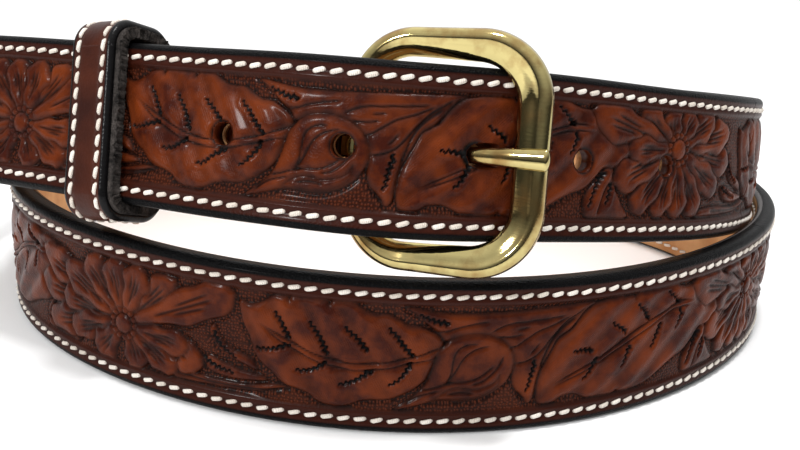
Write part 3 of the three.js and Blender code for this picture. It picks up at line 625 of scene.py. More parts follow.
def petal_outline(reach, half_width, ruffle):
    """The half width grows with the power 0.8 of the way out, then closes as a quarter ellipse, and
    a sine along the rim ruffles it."""
    length = float(np.hypot(*reach))
    out = unit(reach)
    side = np.array([-out[1], out[0]])
    share = np.linspace(PETAL_START, 1, PETAL_POINTS)
    past_widest = ((share - PETAL_WIDEST) / (1 - PETAL_WIDEST)).clip(0)
    closing = np.sqrt(np.clip(1 - past_widest**2, 0, 1))
    width = PETAL_FULLNESS * half_width * (share / PETAL_WIDEST).clip(0, 1) ** 0.8 * closing
    width = width * (1 + RUFFLE_HEIGHT * np.sin(share * RUFFLE_PHASES + ruffle))
    upper = share[:, None] * length * out + width[:, None] * side
    lower = share[:, None] * length * out - (width * 0.96)[:, None] * side
    return np.concatenate([upper, lower[::-1]])


def carve_flower(x, v, petals):
    """Petals one over another, each with three short veins, then the ring of seeds and the centre."""
    for index, (along, across, half_width) in enumerate(petals):
        reach = np.array([along, across], float)
        outline = petal_outline(reach, half_width, ruffle=index * 1.7) + (x, v)
        raise_region(outline, height=0.22, sample=2)
        side = unit(np.array([-across, along], float)) * half_width
        for offset, start, end in VEINS:
            points = [(x, v) + (reach + side * offset) * share for share in (start, 0.6, end)]
            knife_cut(points, depth=0.45, width=0.36, bevel=0.16, taper=2.5)
    for seed in range(SEED_COUNT):
        angle = 2 * math.pi * seed / SEED_COUNT
        dome(x + SEED_RING * math.cos(angle), v + SEED_RING * math.sin(angle), 0.62, 0.12)
    dome(x, v, 2.1, 0.42)


for shift in (-REPEAT, 0, REPEAT):
    carve_repeat(shift)
carve_flower(-FLOWER_SPREAD - REPEAT, LEFT_FLOWER_UP, LEFT_FLOWER_PETALS)
carve_flower(-FLOWER_SPREAD, RIGHT_FLOWER_UP, RIGHT_FLOWER_PETALS)
carve_flower(REPEAT - FLOWER_SPREAD, LEFT_FLOWER_UP, LEFT_FLOWER_PETALS)
heights = canvas["height"]
print("The carving's heights run from", heights.min().round(2), "to", heights.max().round(2))

# %% [markdown]
# From the canvas to the strap
#
# The carving is read off the canvas at each point of the strap's face. Along the front stretches the
# pattern keeps its size, and round the back it is spaced a little closer so that both fronts come out
# right. Outside the carved band a pressed line, the stitch groove and the rounded edge follow the
# strap's outline, also round the tip, so they are worked out from the distance to that outline.

# %% Reading the canvas
HOLE_IN_USE_ON_PATTERN = 19.2
FRONT_REACH = 95
LOWER_FRONT_MIDDLE_X = 3.74
LOWER_FRONT_OFFSET = 30.25
FAR_ALONG = 1000
lower_lengths = np.linspace(length_of_turn(335), length_of_turn(385), 2000)
lower_middle, _, lower_face, _ = stations(lower_lengths)
lower_x = (lower_middle + lower_face * TOOLED_FACE)[:, 0]
lower_front_at = float(np.interp(LOWER_FRONT_MIDDLE_X, lower_x, lower_lengths))
upper_front_at = hole_in_use_at - HOLE_IN_USE_ON_PATTERN
pattern_lengths = [
    upper_front_at - FAR_ALONG,
    upper_front_at + FRONT_REACH,
    lower_front_at - FRONT_REACH,
    lower_front_at + FAR_ALONG,
]
lower_front_on_pattern = 2 * CYCLE - LOWER_FRONT_OFFSET
pattern_places = [
    -FAR_ALONG,
    FRONT_REACH,
    lower_front_on_pattern - FRONT_REACH,
    lower_front_on_pattern + FAR_ALONG,
]
WINDOW_START = -FLOWER_SPREAD - 0.5 * REPEAT


def read_canvas(layer, length, up):
    """Bilinear reading of one layer of the canvas, with the pattern's place wrapped to one cycle."""
    place = np.interp(length, pattern_lengths, pattern_places)
    place = (place - WINDOW_START) % CYCLE + WINDOW_START
    column = np.clip((place - canvas_x[0]) / CANVAS_STEP, 0, len(canvas_x) - 1.001)
    row = np.clip((up - canvas_v[0]) / CANVAS_STEP, 0, len(canvas_v) - 1.001)
    i, j = column.astype(int), row.astype(int)
    a, b = column - i, row - j
    values = canvas[layer]
    lower = values[i, j] * (1 - a) + values[i + 1, j] * a
    upper = values[i, j + 1] * (1 - a) + values[i + 1, j + 1] * a
    return lower * (1 - b) + upper * b


# %% Outline of the strap, and what follows it
HALF_WIDTH = BELT_WIDTH / 2
BORDER_ROW = 11.5
STITCH_ROW = 13.33
BORDER_FROM_EDGE = HALF_WIDTH - BORDER_ROW
STITCH_FROM_EDGE = HALF_WIDTH - STITCH_ROW
BORDER_LINE_DEPTH = 0.3
BORDER_LINE_WIDTH = 0.3
GROOVE_DEPTH = 0.32
GROOVE_WIDTH = 0.75
DISH_DEPTH = 0.5
DISH_WIDTH = 1.1
PLAIN_BEFORE_BAR = 70
PLAIN_FADE = 6
TURNED_END_BEFORE_BAR = 14
plain_from = behind_bar_at - PLAIN_BEFORE_BAR
turned_end_from = behind_bar_at - TURNED_END_BEFORE_BAR


def half_width_at(length):
    """Half the strap's width: constant, and closed by half an ellipse at the tip."""
    share = np.clip((length - tip_at) / TIP_LENGTH, 0, 1)
    return HALF_WIDTH * np.sqrt(1 - (1 - share) ** 2)


def from_edge(length, up):
    """Distance to the outline. At the tip it is the first-order distance to an ellipse."""
    straight = HALF_WIDTH - np.abs(up)
    past = (tip_at + TIP_LENGTH - length).clip(0)
    level = np.sqrt((past / TIP_LENGTH) ** 2 + (up / HALF_WIDTH) ** 2).clip(1e-6)
    slope = np.sqrt((past / TIP_LENGTH**2) ** 2 + (up / HALF_WIDTH**2) ** 2).clip(1e-6) / level
    return np.where(past > 0, (1 - level) / slope, straight)


def face_relief(length, up):
    """Height of the face, and the masks that its leather reads, at each length and width."""
    edge_gap = from_edge(length, up)
    border_gap = edge_gap - BORDER_FROM_EDGE
    stitch_gap = edge_gap - STITCH_FROM_EDGE
    hole_gap = np.min([np.hypot(length - hole_at, up) for hole_at in hole_lengths], axis=0)
    dish = np.clip(1 - (hole_gap - HOLE_DIAMETER / 2) / DISH_WIDTH, 0, 1)
    carved = smooth_step(-0.1, 0.5, border_gap)
    carved = carved * (1 - smooth_step(plain_from - PLAIN_FADE, plain_from, length))
    height = read_canvas("height", length, up) * carved
    height = height - BORDER_LINE_DEPTH * bell(border_gap, BORDER_LINE_WIDTH)
    height = height - GROOVE_DEPTH * bell(stitch_gap, GROOVE_WIDTH)
    height = height * (1 - 0.6 * dish) - DISH_DEPTH * dish**2
    # The stitch groove and the border line are darkened with painted shade.
    groove_shade = 0.3 * bell(stitch_gap, 0.6) + 0.4 * bell(border_gap, 0.18)
    return {
        "relief": height,
        "beads": read_canvas("beads", length, up) * carved * (1 - dish),
        "cut": np.maximum(read_canvas("cut", length, up) * carved, 0.8 * dish**2) + groove_shade,
        "hatch": read_canvas("hatch", length, up),
        "hatched": read_canvas("hatched", length, up) * carved,
        "edge": 1 - smooth_step(1.1, 2.0, edge_gap),
        "border": 1 - smooth_step(-0.2, 0.1, border_gap),
    }


def plain_masks(shape, **values):
    """The masks of uncarved leather: nought all over, apart from those that are given a value."""
    keys = ("relief", "beads", "cut", "hatch", "hatched", "edge", "border")
    return {key: np.full(shape, float(values.get(key, 0))) for key in keys}


# %% [markdown]
# Meshes from grids
#
# Every new piece is a grid of points: rings of points carried along a path. One function turns such a
# grid into a mesh, closes it where it has to be closed, and stores the masks as attributes and the
# length and width as a UV map in millimetres, which the leather's grain and its beads follow.

# %% Grid to mesh


def add_mesh(name, points, quads, masks=None, uv=None, caps=()):
    """A mesh from points in millimetres and quads, with float attributes and a UV map by point."""
    mesh = bpy.data.meshes.new(name)
    faces = [quads.reshape(-1)]
    sizes = [np.full(len(quads), 4)]
    for cap in caps:
        faces.append(np.asarray(cap))
        sizes.append(np.array([len(cap)]))
    corners = np.concatenate(faces).astype(np.int32)
    totals = np.concatenate(sizes).astype(np.int32)
    mesh.vertices.add(len(points))
    mesh.vertices.foreach_set("co", (np.asarray(points) * MM).astype(np.float32).reshape(-1))
    mesh.loops.add(len(corners))
    mesh.loops.foreach_set("vertex_index", corners)
    mesh.polygons.add(len(totals))
    starts = np.concatenate([[0], np.cumsum(totals)[:-1]]).astype(np.int32)
    mesh.polygons.foreach_set("loop_start", starts)
    mesh.update(calc_edges=True)
    flat = mesh.attributes.new("sharp_face", "BOOLEAN", "FACE")
    flat.data.foreach_set("value", np.arange(len(totals)) >= len(quads))
    for key, values in (masks or {}).items():
        layer = mesh.attributes.new(key, "FLOAT", "POINT")
        layer.data.foreach_set("value", np.asarray(values, np.float32).reshape(-1))
    if uv is not None:
        layer = mesh.uv_layers.new(name="UVMap")
        layer.data.foreach_set("uv", np.asarray(uv, np.float32).reshape(-1, 2)[corners].reshape(-1))
    mesh.validate()
    piece = bpy.data.objects.new(name, mesh)
    bpy.context.scene.collection.objects.link(piece)
    return piece


def grid_quads(rows, columns, close_rows=False, close_columns=False):
    """Corner numbers of the quads of a grid, row by row, wrapped round where it closes."""
    i = np.arange(rows if close_rows else rows - 1)[:, None]
    j = np.arange(columns if close_columns else columns - 1)[None, :]
    i_next, j_next = (i + 1) % rows, (j + 1) % columns
    corners = [i * columns + j, i_next * columns + j, i_next * columns + j_next, i * columns + j_next]
    return np.stack(np.broadcast_arrays(*corners), axis=-1).reshape(-1, 4)


def signed_volume(points, quads):
    """Six times the volume that the quads enclose, which is negative if they point inwards."""
    a, b, c, d = (points[quads[:, k]] for k in range(4))
    return float((a * np.cross(b, c)).sum() + (a * np.cross(c, d)).sum())


def ring_mesh(name, rings, masks=None, uv=None, close_path=False):
    """Rings of points, each ring closed, joined in a row. Open ends get flat caps."""
    rows, columns = rings.shape[:2]
    points = rings.reshape(-1, 3)
    quads = grid_quads(rows, columns, close_path, True)
    first, last = np.arange(columns), np.arange(columns) + (rows - 1) * columns
    centred = points - points.mean(0)
    if signed_volume(centred, quads) < 0:
        quads = quads[:, ::-1]
        caps = [first[::-1], last]
    else:
        caps = [first, last[::-1]]
    return add_mesh(name, points, quads, masks, uv, [] if close_path else caps)


def dress(piece, material, slot_name, *nodes):
    """Gives a piece its material, ties it to the belt, and hides the solids it stands for, by name. The
    slot name is not used.
    """
    piece.data.materials.clear()
    piece.data.materials.append(material)
    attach(piece, "root")
    if nodes:
        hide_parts(*nodes)


# %% [markdown]
# Shared effects for the materials
#
# Two effects are node groups, so that each is built once: the pores, creases and slow clouds of
# leather, which three leathers share, and the brown film and fine scratches of brass. A group puts
# out heights and masks, and the material decides what to do with them.

# %% Node helpers


class Nodes:
    """Adds nodes to a tree and links them, one short call for each node."""

    def __init__(self, tree):
        self.tree = tree

    def feed(self, node, inputs):
        """Links each named input of a node to a socket, or sets it to a value."""
        for key, value in inputs.items():
            if isinstance(value, bpy.types.NodeSocket):
                self.tree.links.new(value, node.inputs[key])
            else:
                node.inputs[key].default_value = value

    def add(self, kind, inputs=None, **settings):
        """A node of a kind, with its settings and what feeds it."""
        node = self.tree.nodes.new(kind)
        for key, value in settings.items():
            setattr(node, key, value)
        self.feed(node, inputs or {})
        return node

    def math(self, operation, first, second=0.5, clamp=False):
        """The result of one sum on two numbers or sockets."""
        node = self.add("ShaderNodeMath", {0: first, 1: second}, operation=operation, use_clamp=clamp)
        return node.outputs[0]

    def ramp(self, value, low, high, start=0.0, end=1.0):
        """A value mapped from one span to another, and held at its ends."""
        span = {"Value": value, "From Min": low, "From Max": high, "To Min": start, "To Max": end}
        return self.add("ShaderNodeMapRange", span, clamp=True).outputs[0]

    def mix(self, factor, first, second):
        """A colour between two colours."""
        node = self.add("ShaderNodeMix", {0: factor, 6: first, 7: second}, data_type="RGBA")
        return node.outputs[2]

    def attribute(self, name):
        """The number that the mesh stores at each point under that name."""
        return self.add("ShaderNodeAttribute", attribute_name=name).outputs["Fac"]

    def uv(self):
        """The piece's own UV map, which holds millimetres along and across it."""
        return self.add("ShaderNodeUVMap", uv_map="UVMap").outputs[0]

    def noise(self, vector, scale, detail, roughness=0.5, dimensions="3D"):
        """Cloudy noise from 0 to 1, with finer noise on it by the detail."""
        inputs = {"Vector": vector, "Scale": scale, "Detail": detail, "Roughness": roughness}
        return self.add("ShaderNodeTexNoise", inputs, noise_dimensions=dimensions).outputs["Fac"]

    def bump(self, height, strength, distance):
        """A normal that is tilted by a height, whose full depth is given in metres."""
        inputs = {"Height": height, "Strength": strength, "Distance": distance}
        return self.add("ShaderNodeBump", inputs).outputs[0]


def new_group(name, numbers, outputs):
    """An empty node group with a vector, named numbers with their usual values, and its outputs."""
    group = bpy.data.node_groups.new(name, "ShaderNodeTree")
    group.interface.new_socket("Vector", in_out="INPUT", socket_type="NodeSocketVector")
    for socket, usual in numbers.items():
        made = group.interface.new_socket(socket, in_out="INPUT", socket_type="NodeSocketFloat")
        made.default_value = usual
    for socket in outputs:
        group.interface.new_socket(socket, in_out="OUTPUT", socket_type="NodeSocketFloat")
    return group, Nodes(group)


def colour(red, green, blue):
    """A colour given in the 0 to 255 numbers of a picture, as Blender's linear light."""
    shares = [value / 255 for value in (red, green, blue)]
    linear = [s / 12.92 if s <= 0.04045 else ((s + 0.055) / 1.055) ** 2.4 for s in shares]
    return (*linear, 1.0)


# %% Leather grain group
LEATHER_GRAIN, tools = new_group("leather_grain", {"Pore Size": 1.6}, ["Height", "Tone"])
given = tools.add("NodeGroupInput").outputs
pores = tools.add(
    "ShaderNodeTexVoronoi",
    {"Vector": given["Vector"], "Scale": given["Pore Size"], "Randomness": 1.0},
    feature="F1", voronoi_dimensions="2D",
)
creases = tools.noise(given["Vector"], 0.9, 5.0, 0.62, "2D")
clouds = tools.noise(given["Vector"], 0.09, 3.0, dimensions="2D")
grain_height = tools.math("ADD", tools.math("MULTIPLY", pores.outputs["Distance"], 0.7), creases)
tools.add("NodeGroupOutput", {"Height": grain_height, "Tone": clouds})
print("The leather grain group has", len(LEATHER_GRAIN.nodes), "nodes")

# %% Tarnish group
SCRATCH_STRETCH = (300.0, 300.0, 2600.0)
TARNISH, tools = new_group("tarnish", {"Size": 60.0}, ["Film", "Scratches"])
given = tools.add("NodeGroupInput").outputs
film = tools.noise(given["Vector"], given["Size"], 6.0, 0.6)
stretched = tools.add("ShaderNodeMapping", {"Vector": given["Vector"], "Scale": SCRATCH_STRETCH})
scratches = tools.noise(stretched.outputs[0], 1.0, 2.0)
tools.add("NodeGroupOutput", {"Film": tools.ramp(film, 0.42, 0.66), "Scratches": scratches})
print("The tarnish group has", len(TARNISH.nodes), "nodes")

# %% [markdown]
# Tooled leather
#
# The dye lies thin on the raised leaves, where it is rubbed back to a warm orange brown, and thick in
# the cuts and between the beads. So the colour follows the relief, with slow clouds over it. The sunk
# ground is darker with that dye and with painted shade, the bead tops and the crests of the hatching
# get painted highlights, the knife cuts and serrated cuts go to black with dye and painted shade, the
# stitch groove and the border line get painted shade, the dishes round the holes are darker, and the
# edge goes to black. The finish is a wax: the raised face shines and the sunk background less. The
# finest marks, which are thinner than the mesh's cells, are bump: the beads, the carver's hatching on
# the leaves, whose phase is stored at each point, and the grain.

# %% Tooled leather material
FINE_BUMP_DISTANCE = 0.00022
FINE_BUMP_STRENGTH = 0.85
PORE_SIZE = 2.1
BEAD_SCALE = 1.45
BEAD_RANDOMNESS = 0.55
HATCH_HEIGHT = 0.1
WAX_ROUGHNESS = 0.16
SUNK_DYE_AND_SHADE = colour(20, 7, 4), colour(34, 12, 6)
RAISED_DYE = colour(55, 19, 10), colour(80, 32, 13)
RUBBED_DYE = colour(102, 43, 15)
BEAD_SHADE_AND_HIGHLIGHT = colour(26, 10, 6), colour(84, 39, 23)
BORDER_DYE = colour(50, 20, 12)
CUT_SHADE_BLACK = colour(8, 5, 5)
EDGE_INK = colour(7, 7, 8)


def new_material(name):
    """A material with only a Principled surface, and its helper."""
    material = bpy.data.materials.new(name)
    material.use_nodes = True
    material.node_tree.nodes.clear()
    tools = Nodes(material.node_tree)
    output = tools.add("ShaderNodeOutputMaterial")
    surface = tools.add("ShaderNodeBsdfPrincipled")
    material.node_tree.links.new(surface.outputs[0], output.inputs[0])
    return material, tools, surface


def tooled_leather():
    """Dyed, waxed leather whose colour, shine and bump follow the carving; its colour holds painted
    shade and highlights.
    """
    material, tools, surface = new_material("tooled_leather")
    uv = tools.uv()
    relief = tools.attribute("relief")
    beads = tools.attribute("beads")
    edge = tools.attribute("edge")
    grain = tools.add("ShaderNodeGroup", {"Vector": uv, "Pore Size": PORE_SIZE}, node_tree=LEATHER_GRAIN)
    cells = tools.add(
        "ShaderNodeTexVoronoi", {"Vector": uv, "Scale": BEAD_SCALE, "Randomness": BEAD_RANDOMNESS},
        feature="F1", voronoi_dimensions="2D",
    )
    bead_height = tools.ramp(cells.outputs["Distance"], 0.12, 0.5, 1.0, 0.0)
    bead_height = tools.math("MULTIPLY", bead_height, beads)
    broken = tools.ramp(tools.noise(uv, 0.5, 2.0, dimensions="2D"), 0.42, 0.62)
    hatched = tools.math("MULTIPLY", tools.attribute("hatched"), broken)
    lines = tools.math("SINE", tools.math("MULTIPLY", tools.attribute("hatch"), 2 * math.pi))
    lines = tools.math("MULTIPLY", tools.math("MULTIPLY", lines, hatched), HATCH_HEIGHT)
    # The colour darkens from the raised face to the sunk ground: the dye gathering low, and painted
    # shade.
    high = tools.ramp(relief, -0.75, 0.12)
    # The hatch lines lighten their crests and darken their troughs in colour: painted highlight and
    # shade.
    high = tools.math("ADD", high, tools.math("MULTIPLY", lines, 0.9), clamp=True)
    tone = tools.ramp(grain.outputs["Tone"], 0.3, 0.7)
    warm = tools.ramp(tools.noise(uv, 0.28, 3.0, dimensions="2D"), 0.4, 0.62)
    raised = tools.mix(tools.ramp(tone, 0.4, 1.0), tools.mix(warm, *RAISED_DYE), RUBBED_DYE)
    # Between the beads the colour is dark and on their tops light: painted shade and painted highlight.
    sunk = tools.mix(beads, tools.mix(tone, *SUNK_DYE_AND_SHADE), tools.mix(bead_height, *BEAD_SHADE_AND_HIGHLIGHT))
    body = tools.mix(high, sunk, raised)
    body = tools.mix(tools.attribute("border"), body, BORDER_DYE)
    # Cuts, grooves and hole dishes go dark: painted shade, with the dye that gathers in the cuts.
    body = tools.mix(tools.ramp(tools.attribute("cut"), 0.1, 0.7), body, CUT_SHADE_BLACK)
    body = tools.mix(tools.ramp(edge, 0.25, 0.8), body, EDGE_INK)
    shine = tools.ramp(relief, -0.6, 0.1, 0.46, 0.3)
    shine = tools.math("ADD", shine, tools.math("MULTIPLY", edge, 0.04))
    fine = tools.math("MULTIPLY", grain.outputs["Height"], tools.ramp(edge, 0, 1, 0.3, 0.9))
    fine = tools.math("ADD", fine, tools.math("MULTIPLY", bead_height, 1.3))
    fine = tools.math("ADD", fine, lines)
    tools.feed(surface, {
        "Base Color": body,
        "Roughness": shine,
        "Specular IOR Level": 0.05,
        "Coat Weight": tools.ramp(edge, 0, 0.6, 0.07, 0.01),
        "Coat Roughness": WAX_ROUGHNESS,
        "Normal": tools.bump(fine, FINE_BUMP_STRENGTH, FINE_BUMP_DISTANCE),
    })
    return material


TOOLED_LEATHER = tooled_leather()

# %% [markdown]
# The strap
#
# The strap is one long ring of points carried along the route: a fine face that takes the carving,
# two rounded edges, and a plain back. It is made in stretches that meet ring to ring, fine where the
# carving is seen close up and coarser round the back, so that no single mesh gets too heavy.

# %% Strap stretches
FACE_COLUMNS = 98
EDGE_STEPS = 6
EDGE_FLAT = 1.2
LAYERS_APART = 0.02
FIRST_RING_FROM_TIP = 0.02
TIP_RINGS = 25
edge_angle = np.linspace(0, math.pi / 2, EDGE_STEPS + 1)[1:]
face_share = np.linspace(1, -1, FACE_COLUMNS)


def strap_ring(length, half):
    """Out and up of one ring at each length: face, lower edge, back, upper edge. The edges are quarter
    ellipses, and the relief is added to the face."""
    length, half = length[:, None], half[:, None]
    edge_round = np.minimum(EDGE_ROUND, half / 2)
    depth = np.minimum(TOOLED_THICKNESS - EDGE_FLAT, edge_round)
    face_up = face_share[None, :] * (half - edge_round)
    masks = face_relief(np.broadcast_to(length, face_up.shape), face_up)
    face_out = TOOLED_FACE + masks["relief"]
    round_up = half - edge_round * (1 - np.sin(edge_angle))
    round_out = TOOLED_FACE - depth * (1 - np.cos(edge_angle))
    back_up = np.concatenate([-half, -half / 3, half / 3, half], axis=1)
    back_out = np.full_like(back_up, LINING_FRONT + LAYERS_APART)
    out = np.concatenate([face_out, round_out, back_out, round_out[:, ::-1]], axis=1)
    up = np.concatenate([face_up, -round_up, back_up, round_up[:, ::-1]], axis=1)
    extra = np.zeros((len(length), out.shape[1] - FACE_COLUMNS))
    full = {key: np.concatenate([value, extra], axis=1) for key, value in masks.items()}
    full["edge"][:, FACE_COLUMNS:] = 1
    return out, up, full


def sweep(length, out, up):
    """Points of rings given by their distance out of the face and up the width."""
    middle, _, face, across = stations(length)
    return middle[:, None] + face[:, None] * out[..., None] + across[:, None] * up[..., None]


def lengths_round_tip(count):
    """Lengths that crowd towards the tip, by the square of an even share."""
    share = np.linspace(0, 1, count, endpoint=False)
    return tip_at + FIRST_RING_FROM_TIP + share**2 * TIP_LENGTH


STRETCHES = [
    ("strap_free_end", tip_at + FIRST_RING_FROM_TIP, keeper_at, 0.36),
    ("strap_front", keeper_at, length_of_turn(72), 0.3),
    ("strap_right_side", length_of_turn(72), length_of_turn(180), 0.65),
    ("strap_left_side", length_of_turn(180), length_of_turn(288), 0.6),
    ("strap_lower_front", length_of_turn(288), length_of_turn(432), 0.31),
    ("strap_lower_back", length_of_turn(432), length_of_turn(560), 0.7),
    ("strap_rising_back", length_of_turn(560), turned_end_from, 0.7),
]
strap_pieces = {}
for name, start, end, spacing in STRETCHES:
    length = np.linspace(start, end, int((end - start) / spacing) + 1)
    if name == "strap_free_end":
        past_tip = length > tip_at + TIP_LENGTH + 0.1
        length = np.concatenate([lengths_round_tip(TIP_RINGS), length[past_tip]])
    out, up, masks = strap_ring(length, half_width_at(length))
    distance = np.broadcast_to(length[:, None], up.shape)
    uv = np.stack([distance, up + np.sign(up) * (TOOLED_FACE - out)], axis=-1)
    strap_pieces[name] = ring_mesh(name, sweep(length, out, up), masks, uv)
    print(name, len(strap_pieces[name].data.polygons), "faces")

# %% [markdown]
# The holes
#
# The five holes are punched through with round cutters, the one in use on a slant, because the prong
# comes up through it from behind. A Boolean modifier with the Manifold solver does this cleanly on a
# dense closed mesh, and the walls take the cutter's own values, so they come out dark.

# %% Punches
PRONG_HEIGHT = 2.9
PRONG_HALF_THICKNESS = 1.2
PASSAGE_SLANT = math.radians(45)
PASSAGE_RADIUS = math.hypot(2 * PRONG_HALF_THICKNESS, PRONG_HEIGHT) / 2 + 2 * CLEARANCE
PUNCH_SIDES = 40


def rod(name, start, end, square, radius):
    """A closed cylinder between two points: two rings square to its axis, and caps."""
    axis = unit(end - start)
    other = np.cross(axis, square)
    angle = np.linspace(0, 2 * math.pi, PUNCH_SIDES, endpoint=False)[:, None]
    ring = radius * (square * np.cos(angle) + other * np.sin(angle))
    rings = np.stack([start + ring, end + ring])
    masks = plain_masks(rings.shape[:2], edge=1, cut=1)
    return ring_mesh(name, rings, masks, np.zeros((*rings.shape[:2], 2)))


def punch_for(index):
    """The cutter of one hole, straight through or slanted along the strap."""
    middle, along, face, across = station(hole_lengths[index])
    in_use = index == HOLE_IN_USE - 1
    axis = along * math.cos(PASSAGE_SLANT) + face * math.sin(PASSAGE_SLANT) if in_use else face
    reach = THICKNESS * (1 / math.sin(PASSAGE_SLANT) if in_use else 1)
    radius = PASSAGE_RADIUS if in_use else HOLE_DIAMETER / 2
    return rod(f"punch_{index}", middle - axis * reach, middle + axis * reach, across, radius)


def cut_away(piece, cutters):
    """Subtracts each cutter from a piece and keeps the result as its mesh."""
    for cutter in cutters:
        step = piece.modifiers.new("cut", "BOOLEAN")
        step.operation = "DIFFERENCE"
        step.solver = "MANIFOLD"
        step.object = cutter
    graph = bpy.context.evaluated_depsgraph_get()
    cut_mesh = bpy.data.meshes.new_from_object(piece.evaluated_get(graph))
    piece.modifiers.clear()
    old = piece.data
    piece.data = cut_mesh
    bpy.data.meshes.remove(old)


punches = [punch_for(index) for index in range(HOLE_COUNT)]
before = len(strap_pieces["strap_front"].data.polygons)
cut_away(strap_pieces["strap_front"], punches)
print("Punched strap_front:", before, "to", len(strap_pieces["strap_front"].data.polygons), "faces")

# %% [markdown]
# The turned end
#
# The strap's end is trimmed narrower, folded round the buckle's bar and brought back behind the strap,
# where two brass posts hold it. It is the same leather, left plain. Its ring is carried along the
# route, round a half circle about the bar, and back.

# %% Turned end
CHAPE_WIDTH = 22
CHAPE_LENGTH = 46
CHAPE_NECK = 7
CHAPE_END_TAPER = 2.5
CHAPE_END_LENGTH = 4
FOLD_CENTRE = -3.15
RETURN_CLOSE = -3.3
RETURN_FAR = -6.3
RETURN_EASE = 13
RINGS_TO_BAR = 22
RINGS_ROUND_BAR = 24
RINGS_BACK = 60
PLAIN_COLUMNS = 10
PLAIN_RELIEF = -0.25
BLACKENED = 0.9
SLOT_WIDTH = 6.5
SLOT_REACH = 9
SLOT_SIDES = 32
SLOT_CUTTER_OUT = 4
SLOT_CUTTER_BACK = 12
heel_middle, heel_along, heel_face, heel_across = station(behind_bar_at)
heel_centre = heel_middle + heel_face * FOLD_CENTRE


def turned_end_ring(half):
    """A plain section with rounded edges, from the face round the lower edge to the back."""
    half = half[:, None]
    share = np.linspace(1, -1, PLAIN_COLUMNS + 2)[None, 1:-1]
    side = np.concatenate([[0.0], np.sin(edge_angle)])
    drop = np.concatenate([[0.0], 1 - np.cos(edge_angle)])
    edge_up = half - EDGE_ROUND * (1 - side)
    edge_out = np.broadcast_to(TOOLED_FACE - (TOOLED_THICKNESS - EDGE_FLAT) * drop, edge_up.shape)
    face_up = share * (half - EDGE_ROUND)
    face_out = np.full_like(face_up, TOOLED_FACE)
    back_up = np.concatenate([-half, -share * half, half], axis=1)
    back_out = np.full_like(back_up, TOOLED_BACK)
    out = np.concatenate([face_out, edge_out, back_out, edge_out[:, ::-1]], axis=1)
    up = np.concatenate([face_up, -edge_up, back_up, edge_up[:, ::-1]], axis=1)
    return out, up


def turned_end():
    """Rings to the bar, then round it by an angle, then back along the route with the face turned."""
    length = np.linspace(turned_end_from, behind_bar_at, RINGS_TO_BAR)
    to_bar = np.clip((behind_bar_at - length - CHAPE_NECK) / CHAPE_NECK, 0, 1)
    out, up = turned_end_ring((CHAPE_WIDTH + to_bar * (BELT_WIDTH - CHAPE_WIDTH)) / 2)
    straight = sweep(length, out, up)
    angle = np.linspace(0, math.pi, RINGS_ROUND_BAR + 2)[1:-1, None, None]
    out, up = turned_end_ring(np.full(RINGS_ROUND_BAR, CHAPE_WIDTH / 2))
    radius = (out - FOLD_CENTRE)[..., None]
    fold = heel_centre + radius * (heel_face * np.cos(angle) + heel_along * np.sin(angle))
    fold = fold + heel_across * up[..., None]
    back = np.linspace(0, CHAPE_LENGTH, RINGS_BACK)
    offset = RETURN_FAR + (RETURN_CLOSE - RETURN_FAR) * smooth_step(0, RETURN_EASE, back)
    taper = smooth_step(CHAPE_LENGTH - CHAPE_END_LENGTH, CHAPE_LENGTH, back)
    out, up = turned_end_ring(CHAPE_WIDTH / 2 - CHAPE_END_TAPER * taper)
    returned = sweep(behind_bar_at - back, offset[:, None] - out, up)
    rings = np.concatenate([straight, fold, returned])
    run = run_along(rings[:, PLAIN_COLUMNS + EDGE_STEPS - 1])
    _, up = turned_end_ring(np.full(len(rings), CHAPE_WIDTH / 2))
    uv = np.stack([np.broadcast_to(run[:, None], up.shape), up], axis=-1)
    masks = plain_masks(rings.shape[:2], relief=PLAIN_RELIEF)
    masks["edge"][:, PLAIN_COLUMNS:-PLAIN_COLUMNS] = BLACKENED
    masks["edge"][:, -EDGE_STEPS - 1 :] = BLACKENED
    return ring_mesh("turned_end", rings, masks, uv)


strap_pieces["turned_end"] = turned_end()
slot_half = SLOT_WIDTH / 2
slot_angle = np.linspace(0, 2 * math.pi, SLOT_SIDES, endpoint=False)
slot_along = (SLOT_REACH - slot_half) * np.sign(np.cos(slot_angle)) + slot_half * np.cos(slot_angle)
slot_up = slot_half * np.sin(slot_angle)
slot_ring = heel_middle + slot_along[:, None] * heel_along + slot_up[:, None] * heel_across
slot_ends = np.array([SLOT_CUTTER_OUT, -SLOT_CUTTER_BACK])[:, None, None]
slot_rings = slot_ring + heel_face * slot_ends
slot_masks = plain_masks(slot_rings.shape[:2], edge=1)
slot_cutter = ring_mesh("slot_cutter", slot_rings, slot_masks, np.zeros((*slot_rings.shape[:2], 2)))
cut_away(strap_pieces["turned_end"], [slot_cutter])
print("The turned end has", len(strap_pieces["turned_end"].data.polygons), "faces")

# %% [markdown]
# The lining
#
# Behind the tooled layer lies a thinner one of plain leather. Its outer side shows inside the turns. It
# is one closed sweep with rounded edges. Its colour is the natural tan of undyed leather, and its
# burnished edge is as dark as the strap's.

# %% Lining
LINING_ROUND = 1.5
LINING_COLUMNS = 22
LINING_TIP_RINGS = 23
LINING_SPACING = 1.2
LINING_GROOVE_DEPTH = 0.25
LINING_GROOVE_WIDTH = 0.7


